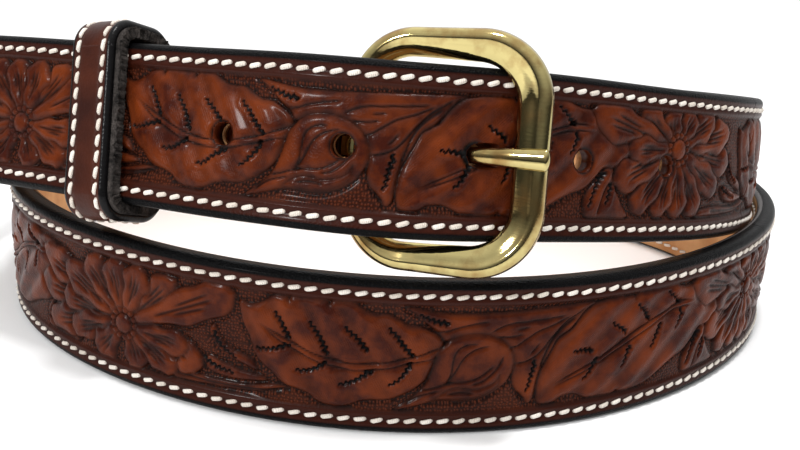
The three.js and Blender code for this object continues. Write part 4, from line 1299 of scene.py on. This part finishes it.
def lining_rings(length):
    """Out and up of one ring at each length, and the distance to the outline. The ring has the side
    that shows with its stitch groove, quarter ellipses at the edges, and the side against the face."""
    half = half_width_at(length)[:, None]
    edge_round = np.minimum(LINING_ROUND, half / 2)
    angle = np.linspace(0, math.pi / 2, 5)[1:]
    share = np.linspace(1, -1, LINING_COLUMNS)[None, :]
    shown_up = share * (half - edge_round)
    shown_out = np.full_like(shown_up, LINING_FACE)
    round_up = half - edge_round * (1 - np.sin(angle))
    round_out = np.broadcast_to(LINING_FACE + LINING_THICKNESS * (1 - np.cos(angle)), round_up.shape)
    hidden_up = -share[:, 3:-3:3] * half
    hidden_out = np.full_like(hidden_up, LINING_FRONT)
    up = np.concatenate([shown_up, -round_up, hidden_up, round_up[:, ::-1]], axis=1)
    out = np.concatenate([shown_out, round_out, hidden_out, round_out[:, ::-1]], axis=1)
    gap = from_edge(np.broadcast_to(length[:, None], up.shape), up)
    groove = LINING_GROOVE_DEPTH * bell(gap - STITCH_FROM_EDGE, LINING_GROOVE_WIDTH)
    out[:, :LINING_COLUMNS] += groove[:, :LINING_COLUMNS]
    return out, up, gap


length = np.concatenate([
    lengths_round_tip(LINING_TIP_RINGS),
    np.arange(tip_at + TIP_LENGTH, turned_end_from, LINING_SPACING),
    [turned_end_from],
])
out, up, gap = lining_rings(length)
uv = np.stack([np.broadcast_to(length[:, None], up.shape), up], axis=-1)
lining = ring_mesh("lining", sweep(length, out, up), {"edge": 1 - smooth_step(0.4, 1.3, gap)}, uv)
cut_away(lining, punches)
for helper in [*punches, slot_cutter]:
    bpy.data.objects.remove(helper)
print("The lining has", len(lining.data.polygons), "faces")

# %% [markdown]
# The stitches
#
# Two rows of thick waxed thread run the length of the strap, 3.3 mm from hole to hole. Each stitch lies
# a little slanted, because the holes are pricked on a slant, stands proud in its groove, and dives into
# the leather at both ends. One stitch is a small capsule with a few dozen faces; numpy sets the same
# capsule down at every place in one array, as one mesh.

# %% Stitches
STITCH_PITCH = 3.33
STITCH_HALF_LENGTH = 1.5
STITCH_RADIUS = 0.46
STITCH_FLATNESS = 0.85
STITCH_DIVE = 0.9
STITCH_SLANT = math.radians(13)
STITCH_END_BEFORE_BAR = 17
TURN_JITTER = 0.035
PLACE_JITTER = 0.05
stitch_share = np.array([-1, -0.86, -0.5, 0, 0.5, 0.86, 1])
stitch_girth = np.array([0.35, 0.8, 1, 1.04, 1, 0.8, 0.35]) * STITCH_RADIUS
stitch_rise = -STITCH_DIVE * np.abs(stitch_share) ** 5
stitch_turn = np.linspace(0, 2 * math.pi, 8, endpoint=False)


def stitch_mesh(name, places, runs, sides, outs):
    """Every stitch as rings round its own line: place, direction, side and outward by stitch."""
    line = places[:, None] + runs[:, None] * (stitch_share * STITCH_HALF_LENGTH)[None, :, None]
    line = line + outs[:, None] * stitch_rise[None, :, None]
    ring = sides[:, None, None] * np.cos(stitch_turn)[None, None, :, None]
    ring = ring + outs[:, None, None] * np.sin(stitch_turn)[None, None, :, None] * STITCH_FLATNESS
    points = line[:, :, None] + ring * stitch_girth[None, :, None, None]
    count, rows, columns = points.shape[:3]
    quads = grid_quads(rows, columns, False, True)
    end_quads = np.array([[0, 1, 2, 3], [0, 3, 4, 7], [4, 5, 6, 7]])
    ends = np.concatenate([end_quads, end_quads[:, ::-1] + (rows - 1) * columns])
    one = np.concatenate([quads, ends])
    if signed_volume(points[0].reshape(-1, 3) - points[0].mean((0, 1)), one) < 0:
        one = one[:, ::-1]
    all_quads = (one[None] + (np.arange(count) * rows * columns)[:, None, None]).reshape(-1, 4)
    turn = np.broadcast_to(stitch_turn / (2 * math.pi), points.shape[:3])
    along = np.broadcast_to(stitch_share[None, :, None] * STITCH_HALF_LENGTH, points.shape[:3])
    shade = np.random.default_rng(7).uniform(0, 1, count)
    masks = {"shade": np.broadcast_to(shade[:, None, None], points.shape[:3])}
    return add_mesh(name, points.reshape(-1, 3), all_quads, masks, np.stack([along, turn], axis=-1))


def stitch_row_places():
    """Length and up of each stitch: along the lower edge to the tip, round it, and back on top."""
    tip_angle = np.linspace(-math.pi / 2, math.pi / 2, 200)
    tip_length = tip_at + TIP_LENGTH - (TIP_LENGTH - STITCH_FROM_EDGE) * np.cos(tip_angle)
    end = behind_bar_at - STITCH_END_BEFORE_BAR
    lengths = np.concatenate([[end], tip_length, [end]])
    ups = np.concatenate([[-STITCH_ROW], STITCH_ROW * np.sin(tip_angle), [STITCH_ROW]])
    run = run_along(np.stack([lengths, ups], axis=-1))
    at = np.arange(STITCH_PITCH, run[-1] - STITCH_PITCH, STITCH_PITCH)
    length, up = np.interp(at, run, lengths), np.interp(at, run, ups)
    ahead = np.interp(at + 0.5, run, lengths) - np.interp(at - 0.5, run, lengths)
    rise = np.interp(at + 0.5, run, ups) - np.interp(at - 0.5, run, ups)
    return length, up, np.arctan2(rise, ahead)


def strap_stitches(name, height, facing):
    """The two rows on one side of the strap: facing is 1 for the tooled face and -1 for the lining."""
    length, up, heading = stitch_row_places()
    jitter = np.random.default_rng(3).normal(0, 1, (2, len(length)))
    heading = heading + STITCH_SLANT * facing + TURN_JITTER * jitter[0]
    middle, along, face, across = stations(length)
    places = middle + face * height + across * (up + PLACE_JITTER * jitter[1])[:, None]
    runs = along * np.cos(heading)[:, None] + across * np.sin(heading)[:, None]
    outs = face * facing
    return stitch_mesh(name, places, runs, np.cross(outs, runs), outs)


front_stitches = strap_stitches("strap_stitches", TOOLED_FACE - GROOVE_DEPTH + 0.22, 1)
lining_stitches = strap_stitches("lining_stitches", LINING_FACE + LINING_GROOVE_DEPTH - 0.2, -1)
stitch_count = len(front_stitches.data.vertices) // (len(stitch_share) * len(stitch_turn))
print("The strap has", stitch_count, "stitches on each side")

# %% [markdown]
# The keeper
#
# The keeper is a thick loop of two layers: a brown one that shows, with bevelled black edges and two
# rows of stitches, and a grey fleshy one inside it, whose cut side is rough. The fleshy one stands a
# little proud on one side. Each is a section carried round a rounded loop, which slants by a few
# degrees over the strap, as a loop that slides does.

# %% Keeper
KEEPER_HALF_OUT = 5.35
KEEPER_HALF_UP = 16.65
KEEPER_INNER_RADIUS = 2.2
KEEPER_FLESH = 2.3
KEEPER_WALL = 3.9
KEEPER_CENTRE_OUT = -2.55
KEEPER_HALF_WIDTH = 5.4
KEEPER_BEVEL = 1.15
KEEPER_TILT = math.radians(5)
KEEPER_FLESH_PROUD = 1.3
KEEPER_FLESH_ROUGHNESS = 0.09
KEEPER_GROOVE_DEPTH = 0.3
KEEPER_GROOVE_WIDTH = 0.7
KEEPER_STITCH_FROM_MIDDLE = 3.3
KEEPER_STITCH_RISE = 0.2
KEEPER_STITCH_SLANT = math.radians(10)
KEEPER_STITCH_COUNT = 34
TANGENT_STEPS = 10
keeper_middle, straight_along, keeper_face, straight_across = station(keeper_at)
keeper_along = straight_along * math.cos(KEEPER_TILT) + straight_across * math.sin(KEEPER_TILT)
keeper_across = straight_across * math.cos(KEEPER_TILT) - straight_along * math.sin(KEEPER_TILT)
keeper_centre = keeper_middle + keeper_face * KEEPER_CENTRE_OUT


def read_evenly(run, count, *tables):
    """Even steps along a run, and each table of rows read at them."""
    at = np.linspace(0, run[-1], count, endpoint=False)
    read = [np.stack([np.interp(at, run, column) for column in rows.T], axis=-1) for rows in tables]
    return at, *read


def loop_frame(count):
    """Points and outward directions of the keeper's inside: straight sides and quarter-circle corners,
    evenly spaced along the loop's outside, with the steps and the length of that outside."""
    corner = KEEPER_INNER_RADIUS
    angle = np.linspace(0, math.pi / 2, 24)
    points, outward = [], []
    for quarter, (sign_out, sign_up) in enumerate([(1, 1), (-1, 1), (-1, -1), (1, -1)]):
        turn = angle + quarter * math.pi / 2
        centre = np.array([sign_out * (KEEPER_HALF_OUT - corner), sign_up * (KEEPER_HALF_UP - corner)])
        direction = np.stack([np.cos(turn), np.sin(turn)], axis=-1)
        points.append(centre + corner * direction)
        outward.append(direction)
    points = np.concatenate([*points, points[0][:1]])
    outward = np.concatenate([*outward, outward[0][:1]])
    run = run_along(points + outward * KEEPER_WALL)
    at, place, normal = read_evenly(run, count, points, outward)
    return place, unit(normal), at, run[-1]


def keeper_sweep(place, normal, radial, along):
    """World points of the keeper: out and up in its plane, and along the strap."""
    flat = place[:, None] + normal[:, None] * radial[..., None]
    return (
        keeper_centre
        + keeper_face * flat[..., :1]
        + keeper_across * flat[..., 1:]
        + keeper_along * along[..., None]
    )


def rounded_section(low, high, half, low_round, high_round, steps=7, flats=14):
    """A closed section in radial and along: a rectangle whose inner and outer corners are rounded."""
    angle = np.linspace(0, math.pi / 2, steps)
    along = np.concatenate([
        half - high_round + high_round * np.sin(angle),
        half - low_round + low_round * np.cos(angle),
        np.linspace(half - low_round, -half + low_round, flats + 2)[1:-1],
        -half + low_round - low_round * np.sin(angle),
        -half + high_round - high_round * np.cos(angle),
        np.linspace(-half + high_round, half - high_round, flats + 2)[1:-1],
    ])
    radial = np.concatenate([
        high - high_round + high_round * np.cos(angle),
        low + low_round - low_round * np.sin(angle),
        np.full(flats, low),
        low + low_round - low_round * np.cos(angle),
        high - high_round + high_round * np.sin(angle),
        np.full(flats, high),
    ])
    return radial, along


def keeper_layer(name, low, high, half, low_round, high_round, count, rough=0.0):
    """One layer of the keeper. Roughness moves its sides in and out by seeded noise along the loop."""
    place, normal, at, _ = loop_frame(count)
    radial, along = rounded_section(low, high, half, low_round, high_round)
    radial = np.broadcast_to(radial, (count, len(radial))).copy()
    along = np.broadcast_to(along, (count, along.shape[0])).copy()
    if rough:
        noise = np.random.default_rng(11).normal(0, 1, along.shape)
        noise = noise + np.roll(noise, 1, axis=0) + np.roll(noise, 1, axis=1)
        side = smooth_step(half - 0.6, half, np.abs(along))
        along += np.sign(along) * side * noise * rough
        radial += side * np.roll(noise, 5, axis=0) * rough * 0.5
        along += KEEPER_FLESH_PROUD * smooth_step(0, half, along)
    else:
        groove = bell(np.abs(along) - KEEPER_STITCH_FROM_MIDDLE, KEEPER_GROOVE_WIDTH)
        radial -= KEEPER_GROOVE_DEPTH * groove * (radial > high - 0.05)
    edge = smooth_step(half - KEEPER_BEVEL * 1.25, half - KEEPER_BEVEL * 0.7, np.abs(along))
    uv = np.stack([np.broadcast_to(at[:, None], along.shape), along], axis=-1)
    rings = keeper_sweep(place, normal, radial, along)
    return ring_mesh(name, rings, {"edge": edge}, uv, close_path=True)


def keeper_stitching():
    """Two rows round the loop, each stitch slanted from the loop's tangent towards the strap."""
    place, normal, _, _ = loop_frame(KEEPER_STITCH_COUNT)
    finer, _, _, _ = loop_frame(KEEPER_STITCH_COUNT * TANGENT_STEPS)
    tangent = unit(np.roll(finer, -3, axis=0) - np.roll(finer, 3, axis=0))[::TANGENT_STEPS]
    radial = np.full((len(place), 1), KEEPER_WALL - KEEPER_GROOVE_DEPTH + KEEPER_STITCH_RISE)
    sides = [np.full((len(place), 1), side * KEEPER_STITCH_FROM_MIDDLE) for side in (-1, 1)]
    rows = np.concatenate([keeper_sweep(place, normal, radial, side)[:, 0] for side in sides])
    run = keeper_face * tangent[:, :1] + keeper_across * tangent[:, 1:]
    run = np.tile(unit(run + keeper_along * math.tan(KEEPER_STITCH_SLANT)), (2, 1))
    out = np.tile(keeper_face * normal[:, :1] + keeper_across * normal[:, 1:], (2, 1))
    return stitch_mesh("keeper_stitches", rows, run, np.cross(out, run), out)


keeper_outer = keeper_layer(
    "keeper_outer", KEEPER_FLESH, KEEPER_WALL, KEEPER_HALF_WIDTH, 0.2, KEEPER_BEVEL, 420
)
keeper_flesh = keeper_layer(
    "keeper_flesh", 0, KEEPER_FLESH + 0.05, KEEPER_HALF_WIDTH - 0.1, 0.5, 0.3, 480,
    rough=KEEPER_FLESH_ROUGHNESS,
)
keeper_stitches = keeper_stitching()
print("The keeper's loop is", round(loop_frame(1)[3], 1), "mm round its outside")

# %% [markdown]
# The buckle's frame
#
# The frame is cast brass: a rounded rectangle of round bar. Its front bar is wider, with a ridge, where
# the prong rests. One section is carried round the loop; it widens towards the front bar and is turned
# so that its rim faces outwards. The section is a smooth closed curve through a few charted points.

# %% Frame of the buckle
FRAME_LENGTH = 39
FRAME_HEIGHT = 45
FRAME_THICKNESS = 4.5
FRAME_BAR_WIDTH = 6.6
FRAME_SIDE_WIDTH = 4.5
VISIBLE_SIDE_WIDTH = 5.5
VISIBLE_CORNER_RADIUS = 12.8
FRAME_ARCH = 1
BAR_CLEARANCE = 0.7
SEAT_PASSES = 12
SEAT_START_LIFT = 5.35
LOOP_POINTS = 280
CORNER_STEPS = 60
# The solid's section, in half widths and half thicknesses: it says where the frame rests
BAR_SECTION = [
    (1, -0.25), (1, 0.2), (0.72, 0.75), (0.25, 1), (-0.35, 0.9), (-0.8, 0.5), (-1, 0), (-0.8, -0.6),
    (-0.4, -1), (0.6, -1),
]
# The section that is seen, with its ridge and its worn inner side
POLISHED_SECTION = [
    (1, -0.3), (1, 0.15), (0.9, 0.6), (0.62, 0.95), (0.3, 1), (0, 0.82), (-0.45, 0.62), (-0.85, 0.3),
    (-1, -0.1), (-0.8, -0.7), (-0.4, -1), (0.6, -1),
]
span = FRAME_LENGTH - (FRAME_SIDE_WIDTH + FRAME_BAR_WIDTH) / 2


def bar_reach(toward, front, direction):
    """How far the front bar's section reaches in a direction."""
    half = np.array(BAR_SECTION) * (FRAME_BAR_WIDTH / 2, FRAME_THICKNESS / 2)
    return max(-half[:, 0] * (toward @ direction) - half[:, 1] * (front @ direction))


seat_at = heel_bar_at + span
lift = SEAT_START_LIFT
for _ in range(SEAT_PASSES):
    middle, _, face, _ = station(seat_at)
    far = middle + face * lift
    frame_long = unit(far - heel_centre)
    frame_front = unit(np.cross(frame_long, heel_across))
    frame_up = unit(np.cross(frame_front, frame_long))
    seat_at += span - float(np.linalg.norm(far - heel_centre))
    lift = TOOLED_FACE + BAR_CLEARANCE + bar_reach(frame_long, frame_front, face)
print("The front bar rests", round(lift, 2), "mm out from the strap's middle")


def frame_point(long, up, front):
    """A point of the buckle by its own three directions."""
    long, up, front = (np.asarray(value)[..., None] for value in (long, up, front))
    return heel_centre + frame_long * long + frame_up * up + frame_front * front


def frame_loop(count):
    """A rounded rectangle: place, outward direction, evenly spaced."""
    radius = VISIBLE_CORNER_RADIUS - FRAME_SIDE_WIDTH / 2
    half = np.array([span / 2, (FRAME_HEIGHT - FRAME_SIDE_WIDTH) / 2])
    angle = np.linspace(0, 2 * math.pi, 4 * CORNER_STEPS, endpoint=False)
    angle = angle + math.pi / (8 * CORNER_STEPS)
    direction = np.stack([np.cos(angle), np.sin(angle)], axis=-1)
    points = (half - radius) * np.sign(direction) + radius * direction
    points = np.concatenate([points, points[:1]])
    direction = np.concatenate([direction, direction[:1]])
    _, place, outward = read_evenly(run_along(points), count, points, direction)
    return place, unit(outward)


def frame_rings():
    """The section's width and depth carried round the loop. On the front bar it is the charted one,
    and towards the heel bar it is blended to a circle."""
    place, outward = frame_loop(LOOP_POINTS)
    place = place + (span / 2, 0)
    section = smooth_curve(POLISHED_SECTION, closed=True, per_span=4)
    circle = section / np.linalg.norm(section, axis=1, keepdims=True)
    far = smooth_step(0, 1, np.clip(place[:, :1] / span - 0.25, 0, None) / 0.75)
    round_share = np.clip(-outward[:, :1], 0, None) ** 2
    mix = np.clip(round_share + 0.35 * (1 - far) * (1 - round_share), 0, 1)[..., None]
    shape = section[None] * (1 - mix) + circle[None] * mix
    side = VISIBLE_SIDE_WIDTH - round_share * (VISIBLE_SIDE_WIDTH - FRAME_SIDE_WIDTH)
    half_width = (side + far * (FRAME_BAR_WIDTH - VISIBLE_SIDE_WIDTH)) / 2
    wide = shape[..., 0] * half_width
    deep = shape[..., 1] * FRAME_THICKNESS / 2
    arch = FRAME_ARCH * np.sin(np.pi * np.clip(place[:, :1] / span, 0, 1))
    long = place[:, :1] + wide * outward[:, :1]
    up = place[:, 1:] + wide * outward[:, 1:]
    return frame_point(long, up, arch + deep)


buckle_frame = ring_mesh("buckle_frame_polished", frame_rings(), close_path=True)
print("The buckle's frame has", len(buckle_frame.data.polygons), "faces")

# %% [markdown]
# The prong and the posts
#
# The prong is a tapered brass rod that comes up through the hole and rests on the front bar. Its path is
# a smooth curve through six charted points. Round the heel bar it ends in a loop. The two posts behind
# are turned parts: a flat domed head on a shank.

# %% Prong
PRONG_TIP_HEIGHT = 4.1
PRONG_PAST_BAR = 3
PRONG_FOOT_OUT = 3.75
PRONG_BEHIND_STRAP = -4.2
PRONG_BEFORE_HOLE = 7.2
PRONG_BEFORE_BAR = 3.3
PRONG_RISE_AT_BAR = 3.025
PRONG_RISE_AT_TIP = 4.15
PRONG_SPAN_STEPS = 24
PRONG_TIP_STEPS = 8
PRONG_TIP_ROUND = 0.8
PRONG_SIDES = 40
PRONG_SQUARENESS = 0.88
PRONG_LOOP_RADIUS = 3.45
PRONG_LOOP_WALL = 1.8
PRONG_LOOP_WIDTH = 4.5
PRONG_LOOP_STEPS = 64
foot_middle, _, foot_face, _ = station(hole_in_use_at - PRONG_BEFORE_HOLE)
hole_middle, hole_along, hole_face, _ = station(hole_in_use_at)
through = unit(hole_along + hole_face) * 2.7 * math.sqrt(2)
prong_path = np.array([
    heel_centre + heel_face * PRONG_FOOT_OUT,
    foot_middle + foot_face * PRONG_BEHIND_STRAP,
    hole_middle - through,
    hole_middle + through,
    frame_point(span - PRONG_BEFORE_BAR, 0, PRONG_RISE_AT_BAR),
    frame_point(span + PRONG_PAST_BAR, 0, PRONG_RISE_AT_TIP),
])


def centripetal(points, per_span):
    """A centripetal Catmull-Rom curve: its knots are spaced by the square root of each step."""
    padded = np.concatenate([2 * points[:1] - points[1:2], points, 2 * points[-1:] - points[-2:-1]])
    knots = np.concatenate([[0], np.cumsum(np.sqrt(np.linalg.norm(np.diff(padded, axis=0), axis=1)))])
    curve = []
    for i in range(1, len(padded) - 2):
        t = np.linspace(knots[i], knots[i + 1], per_span, endpoint=False)[:, None]
        k = knots[i - 1 : i + 3]
        p = padded[i - 1 : i + 3]
        a = [p[j] + (p[j + 1] - p[j]) * (t - k[j]) / (k[j + 1] - k[j]) for j in range(3)]
        b = [a[j] + (a[j + 1] - a[j]) * (t - k[j]) / (k[j + 2] - k[j]) for j in range(2)]
        curve.append(b[0] + (b[1] - b[0]) * (t - k[1]) / (k[2] - k[1]))
    return np.concatenate([*curve, padded[-2:-1]])


def swelled(wave):
    """A sine wave made a little fuller, which turns a circle into a softly squared oval."""
    return np.sign(wave) * np.abs(wave) ** PRONG_SQUARENESS


def prong():
    """An oval section carried along the prong's path, closed with a rounded tip."""
    line = centripetal(prong_path, PRONG_SPAN_STEPS)
    ahead = unit(np.gradient(line, axis=0))
    up = unit(frame_up - (ahead @ frame_up)[:, None] * ahead)
    front = np.cross(up, ahead)
    share = np.linspace(0, 1, len(line))
    high = (PRONG_HEIGHT + share**2 * (PRONG_TIP_HEIGHT - PRONG_HEIGHT)) / 2
    tip_share = np.linspace(0, 1, PRONG_TIP_STEPS + 1)[1:]
    closing = np.sqrt(np.clip(1 - tip_share**2, 0.02, 1))
    high = np.concatenate([high, high[-1] * closing])
    deep = PRONG_HALF_THICKNESS * np.concatenate([np.ones(len(line)), closing])
    tip = line[-1] + ahead[-1] * tip_share[:, None] * PRONG_TIP_ROUND
    line = np.concatenate([line, tip])
    up = np.concatenate([up, np.repeat(up[-1:], PRONG_TIP_STEPS, axis=0)])
    front = np.concatenate([front, np.repeat(front[-1:], PRONG_TIP_STEPS, axis=0)])
    angle = np.linspace(0, 2 * math.pi, PRONG_SIDES, endpoint=False)
    wide = up[:, None] * (high[:, None] * swelled(np.cos(angle)))[..., None]
    tall = front[:, None] * (deep[:, None] * swelled(np.sin(angle)))[..., None]
    return ring_mesh("prong_rod", line[:, None] + wide + tall)


def prong_loop():
    """A rounded rectangle carried round the heel bar in a circle."""
    turn = np.linspace(0, 2 * math.pi, PRONG_LOOP_STEPS, endpoint=False)
    half_wall = PRONG_LOOP_WALL / 2
    radial, wide = rounded_section(-half_wall, half_wall, PRONG_LOOP_WIDTH / 2, 0.4, 0.6, 5, 4)
    outward = heel_face * np.cos(turn)[:, None] + heel_along * np.sin(turn)[:, None]
    points = heel_centre + outward[:, None] * (PRONG_LOOP_RADIUS + radial)[None, :, None]
    points = points + heel_across * wide[None, :, None]
    return ring_mesh("prong_loop", points, close_path=True)


prong_rod = prong()
prong_ring = prong_loop()

# %% Posts
POST_PROFILE = [
    (0, -7.35), (2.2, -7.3), (3.6, -7.15), (4.25, -6.9), (4.5, -6.6), (4.5, -6.3), (4.4, -6.05),
    (2.0, -6.02), (2.0, -3.0), (2.0, 1.2), (1.85, 1.4), (0, 1.4),
]
FIRST_POST = 22
POST_SPACING = 16
POST_COUNT = 2
POST_SIDES = 48


def post(index):
    """The profile of radius and height turned about the strap's face direction."""
    middle, along, face, across = station(behind_bar_at - FIRST_POST - index * POST_SPACING)
    radius, height = np.array(POST_PROFILE).T
    radius = np.maximum(radius, 0.01)
    turn = np.linspace(0, 2 * math.pi, POST_SIDES, endpoint=False)
    ring = along * np.cos(turn)[:, None] + across * np.sin(turn)[:, None]
    rings = middle + face * height[:, None, None] + ring[None] * radius[:, None, None]
    return ring_mesh(f"post_{index + 1}", rings)


posts = [post(index) for index in range(POST_COUNT)]

# %% [markdown]
# The other materials
#
# The lining is undyed leather: pale tan, matt, with a soft grain. The keeper is the strap's brown
# without carving. Its inner layer is flesh side leather, dyed almost black, and so rough that it looks
# like felt. The thread is off-white with a twist. The brass is polished, with a thin brown film in
# patches, and its reflections do most of the work.

# %% Lining, keeper, flesh and thread


def plain_leather(name, dark_colour, light_colour, edge_colour, roughness, strength):
    """Smooth leather with clouds of colour, grain, and a burnished edge."""
    material, tools, surface = new_material(name)
    grain = tools.add("ShaderNodeGroup", {"Vector": tools.uv()}, node_tree=LEATHER_GRAIN)
    body = tools.mix(tools.ramp(grain.outputs["Tone"], 0.32, 0.68), dark_colour, light_colour)
    edge = tools.ramp(tools.attribute("edge"), 0.3, 0.8)
    fine = tools.math("MULTIPLY", grain.outputs["Height"], 0.3)
    tools.feed(surface, {
        "Base Color": tools.mix(edge, body, edge_colour),
        "Roughness": tools.ramp(edge, 0, 1, roughness, 0.26),
        "Specular IOR Level": 0.15,
        "Normal": tools.bump(fine, strength, FINE_BUMP_DISTANCE),
    })
    return material


LINING_LEATHER = plain_leather(
    "lining_leather", colour(178, 128, 84), colour(204, 158, 112), colour(34, 22, 17), 0.6, 0.5
)
KEEPER_LEATHER = plain_leather(
    "keeper_leather", colour(44, 16, 9), colour(68, 29, 15), colour(10, 9, 10), 0.38, 0.6
)


def flesh_leather():
    """Dark, rough, fibrous leather: two noises for colour and height, and no shine."""
    material, tools, surface = new_material("flesh_leather")
    place = tools.add("ShaderNodeTexCoord").outputs["Object"]
    fibres = tools.noise(place, 2600.0, 6.0, 0.75)
    clumps = tools.noise(place, 520.0, 3.0)
    shade = tools.ramp(tools.math("MULTIPLY", fibres, clumps), 0.14, 0.42)
    tools.feed(surface, {
        "Base Color": tools.mix(shade, colour(22, 20, 19), colour(92, 85, 81)),
        "Roughness": 0.95,
        "Specular IOR Level": 0.15,
        "Normal": tools.bump(fibres, 1.0, 0.0006),
    })
    return material


def waxed_thread():
    """Off-white thread: each stitch a little different, darker at its ends, and banded along its twist
    with painted highlight and shade.
    """
    material, tools, surface = new_material("waxed_thread")
    parts = tools.add("ShaderNodeSeparateXYZ", {0: tools.uv()})
    twist = tools.math("ADD", tools.math("MULTIPLY", parts.outputs[0], 1.3), parts.outputs[1])
    twist = tools.math("SINE", tools.math("MULTIPLY", twist, 2 * math.pi * 2))
    # The twist's bands lighten and darken the thread: painted highlight and shade along its plies.
    shade = tools.math("ADD", tools.math("MULTIPLY", twist, 0.25), tools.attribute("shade"))
    body = tools.mix(tools.ramp(shade, -0.2, 1.2), colour(206, 194, 180), colour(242, 234, 224))
    ends = tools.ramp(tools.math("ABSOLUTE", parts.outputs[0]), 0.95, 1.5)
    tools.feed(surface, {
        "Base Color": tools.mix(ends, body, colour(96, 62, 46)),
        "Roughness": 0.6,
        "Normal": tools.bump(twist, 0.5, 0.0001),
    })
    return material


FLESH_LEATHER = flesh_leather()
WAXED_THREAD = waxed_thread()

# %% Brass
FILM_SIZE = 130.0


def polished_brass():
    """A yellow metal, mirror-like, with a duller brown film in patches and faint polishing lines."""
    material, tools, surface = new_material("polished_brass")
    place = tools.add("ShaderNodeTexCoord").outputs["Object"]
    film = tools.add("ShaderNodeGroup", {"Vector": place, "Size": FILM_SIZE}, node_tree=TARNISH).outputs
    tools.feed(surface, {
        "Base Color": tools.mix(film["Film"], colour(184, 170, 116), colour(140, 110, 66)),
        "Metallic": 1.0,
        "Roughness": tools.ramp(film["Film"], 0, 1, 0.07, 0.2),
        "Normal": tools.bump(film["Scratches"], 0.05, 0.0002),
    })
    return material


BRASS = polished_brass()

# %% Give every piece its material
for piece in strap_pieces.values():
    dress(piece, TOOLED_LEATHER, "tooled_leather", "strap")
dress(lining, LINING_LEATHER, "lining_leather", "lining")
dress(front_stitches, WAXED_THREAD, "tooled_leather")
dress(lining_stitches, WAXED_THREAD, "lining_leather")
dress(keeper_outer, KEEPER_LEATHER, "keeper_leather", "keeper")
dress(keeper_flesh, FLESH_LEATHER, "keeper_leather", "keeper")
dress(keeper_stitches, WAXED_THREAD, "keeper_leather")
dress(buckle_frame, BRASS, "brass", "buckle_frame")
dress(prong_rod, BRASS, "brass", "buckle_prong")
dress(prong_ring, BRASS, "brass", "buckle_prong")
for index, piece in enumerate(posts):
    dress(piece, BRASS, "brass", f"chape_post_{index + 1}")

# %% [markdown]
# Floor and light
#
# The belt stands on a white table in a white room. The world lights it by direction: brightest from
# above and behind, which draws the pale line along the upper edges, and dim in front, which gives the
# brass something dark to mirror. The camera itself sees the room as plain white. Two small panels,
# one above and one at the front left, put the glints on the carving.

# %% Floor
FLOOR_HALF = 20.0
corners = [(-1, -1, 0), (1, -1, 0), (1, 1, 0), (-1, 1, 0)]
floor = add_mesh("floor", np.array(corners) * FLOOR_HALF / MM, np.array([[0, 1, 2, 3]]))
floor_material, floor_tools, floor_surface = new_material("white_table")
floor_tools.feed(floor_surface, {"Base Color": colour(250, 250, 250), "Roughness": 0.9})
floor.data.materials.append(floor_material)

# %% Light
# From and to: how far a direction points up or back. Then the light's strength at both.
FROM_ABOVE = (0.1, 0.8, 0.06, 1.1)
FROM_BEHIND = (0.0, 0.8, 0.0, 0.7)
world = bpy.data.worlds.new("studio")
bpy.context.scene.world = world
bpy.context.scene.view_settings.view_transform = "Standard"
world.use_nodes = True
sky = Nodes(world.node_tree)
parts = sky.add("ShaderNodeSeparateXYZ", {0: sky.add("ShaderNodeTexCoord").outputs["Generated"]})
overhead = sky.ramp(parts.outputs[2], *FROM_ABOVE)
behind_belt = sky.ramp(parts.outputs[1], *FROM_BEHIND)
seen = sky.add("ShaderNodeLightPath").outputs["Is Camera Ray"]
lighting = sky.math("MAXIMUM", sky.math("ADD", overhead, behind_belt), seen)
sky.feed(world.node_tree.nodes["Background"], {"Color": (1, 1, 1, 1), "Strength": lighting})


def panel_light(name, place, target, width, height, power):
    """A rectangular soft light that faces a target."""
    data = bpy.data.lights.new(name, "AREA")
    data.shape = "RECTANGLE"
    data.size, data.size_y, data.energy = width, height, power
    light = bpy.data.objects.new(name, data)
    bpy.context.scene.collection.objects.link(light)
    direction = Vector(target) - Vector(place)
    turned = direction.to_track_quat("-Z", "Y").to_matrix().to_4x4()
    light.matrix_world = Matrix.Translation(place) @ turned


panel_light("top_panel", (0.05, -0.1, 0.6), (0, -0.05, 0.05), 0.1, 0.04, 1.8)
panel_light("left_panel", (-0.3, -0.4, 0.3), (0, -0.06, 0.05), 0.05, 0.05, 1.2)

# %% Update the scene
bpy.context.view_layer.update()
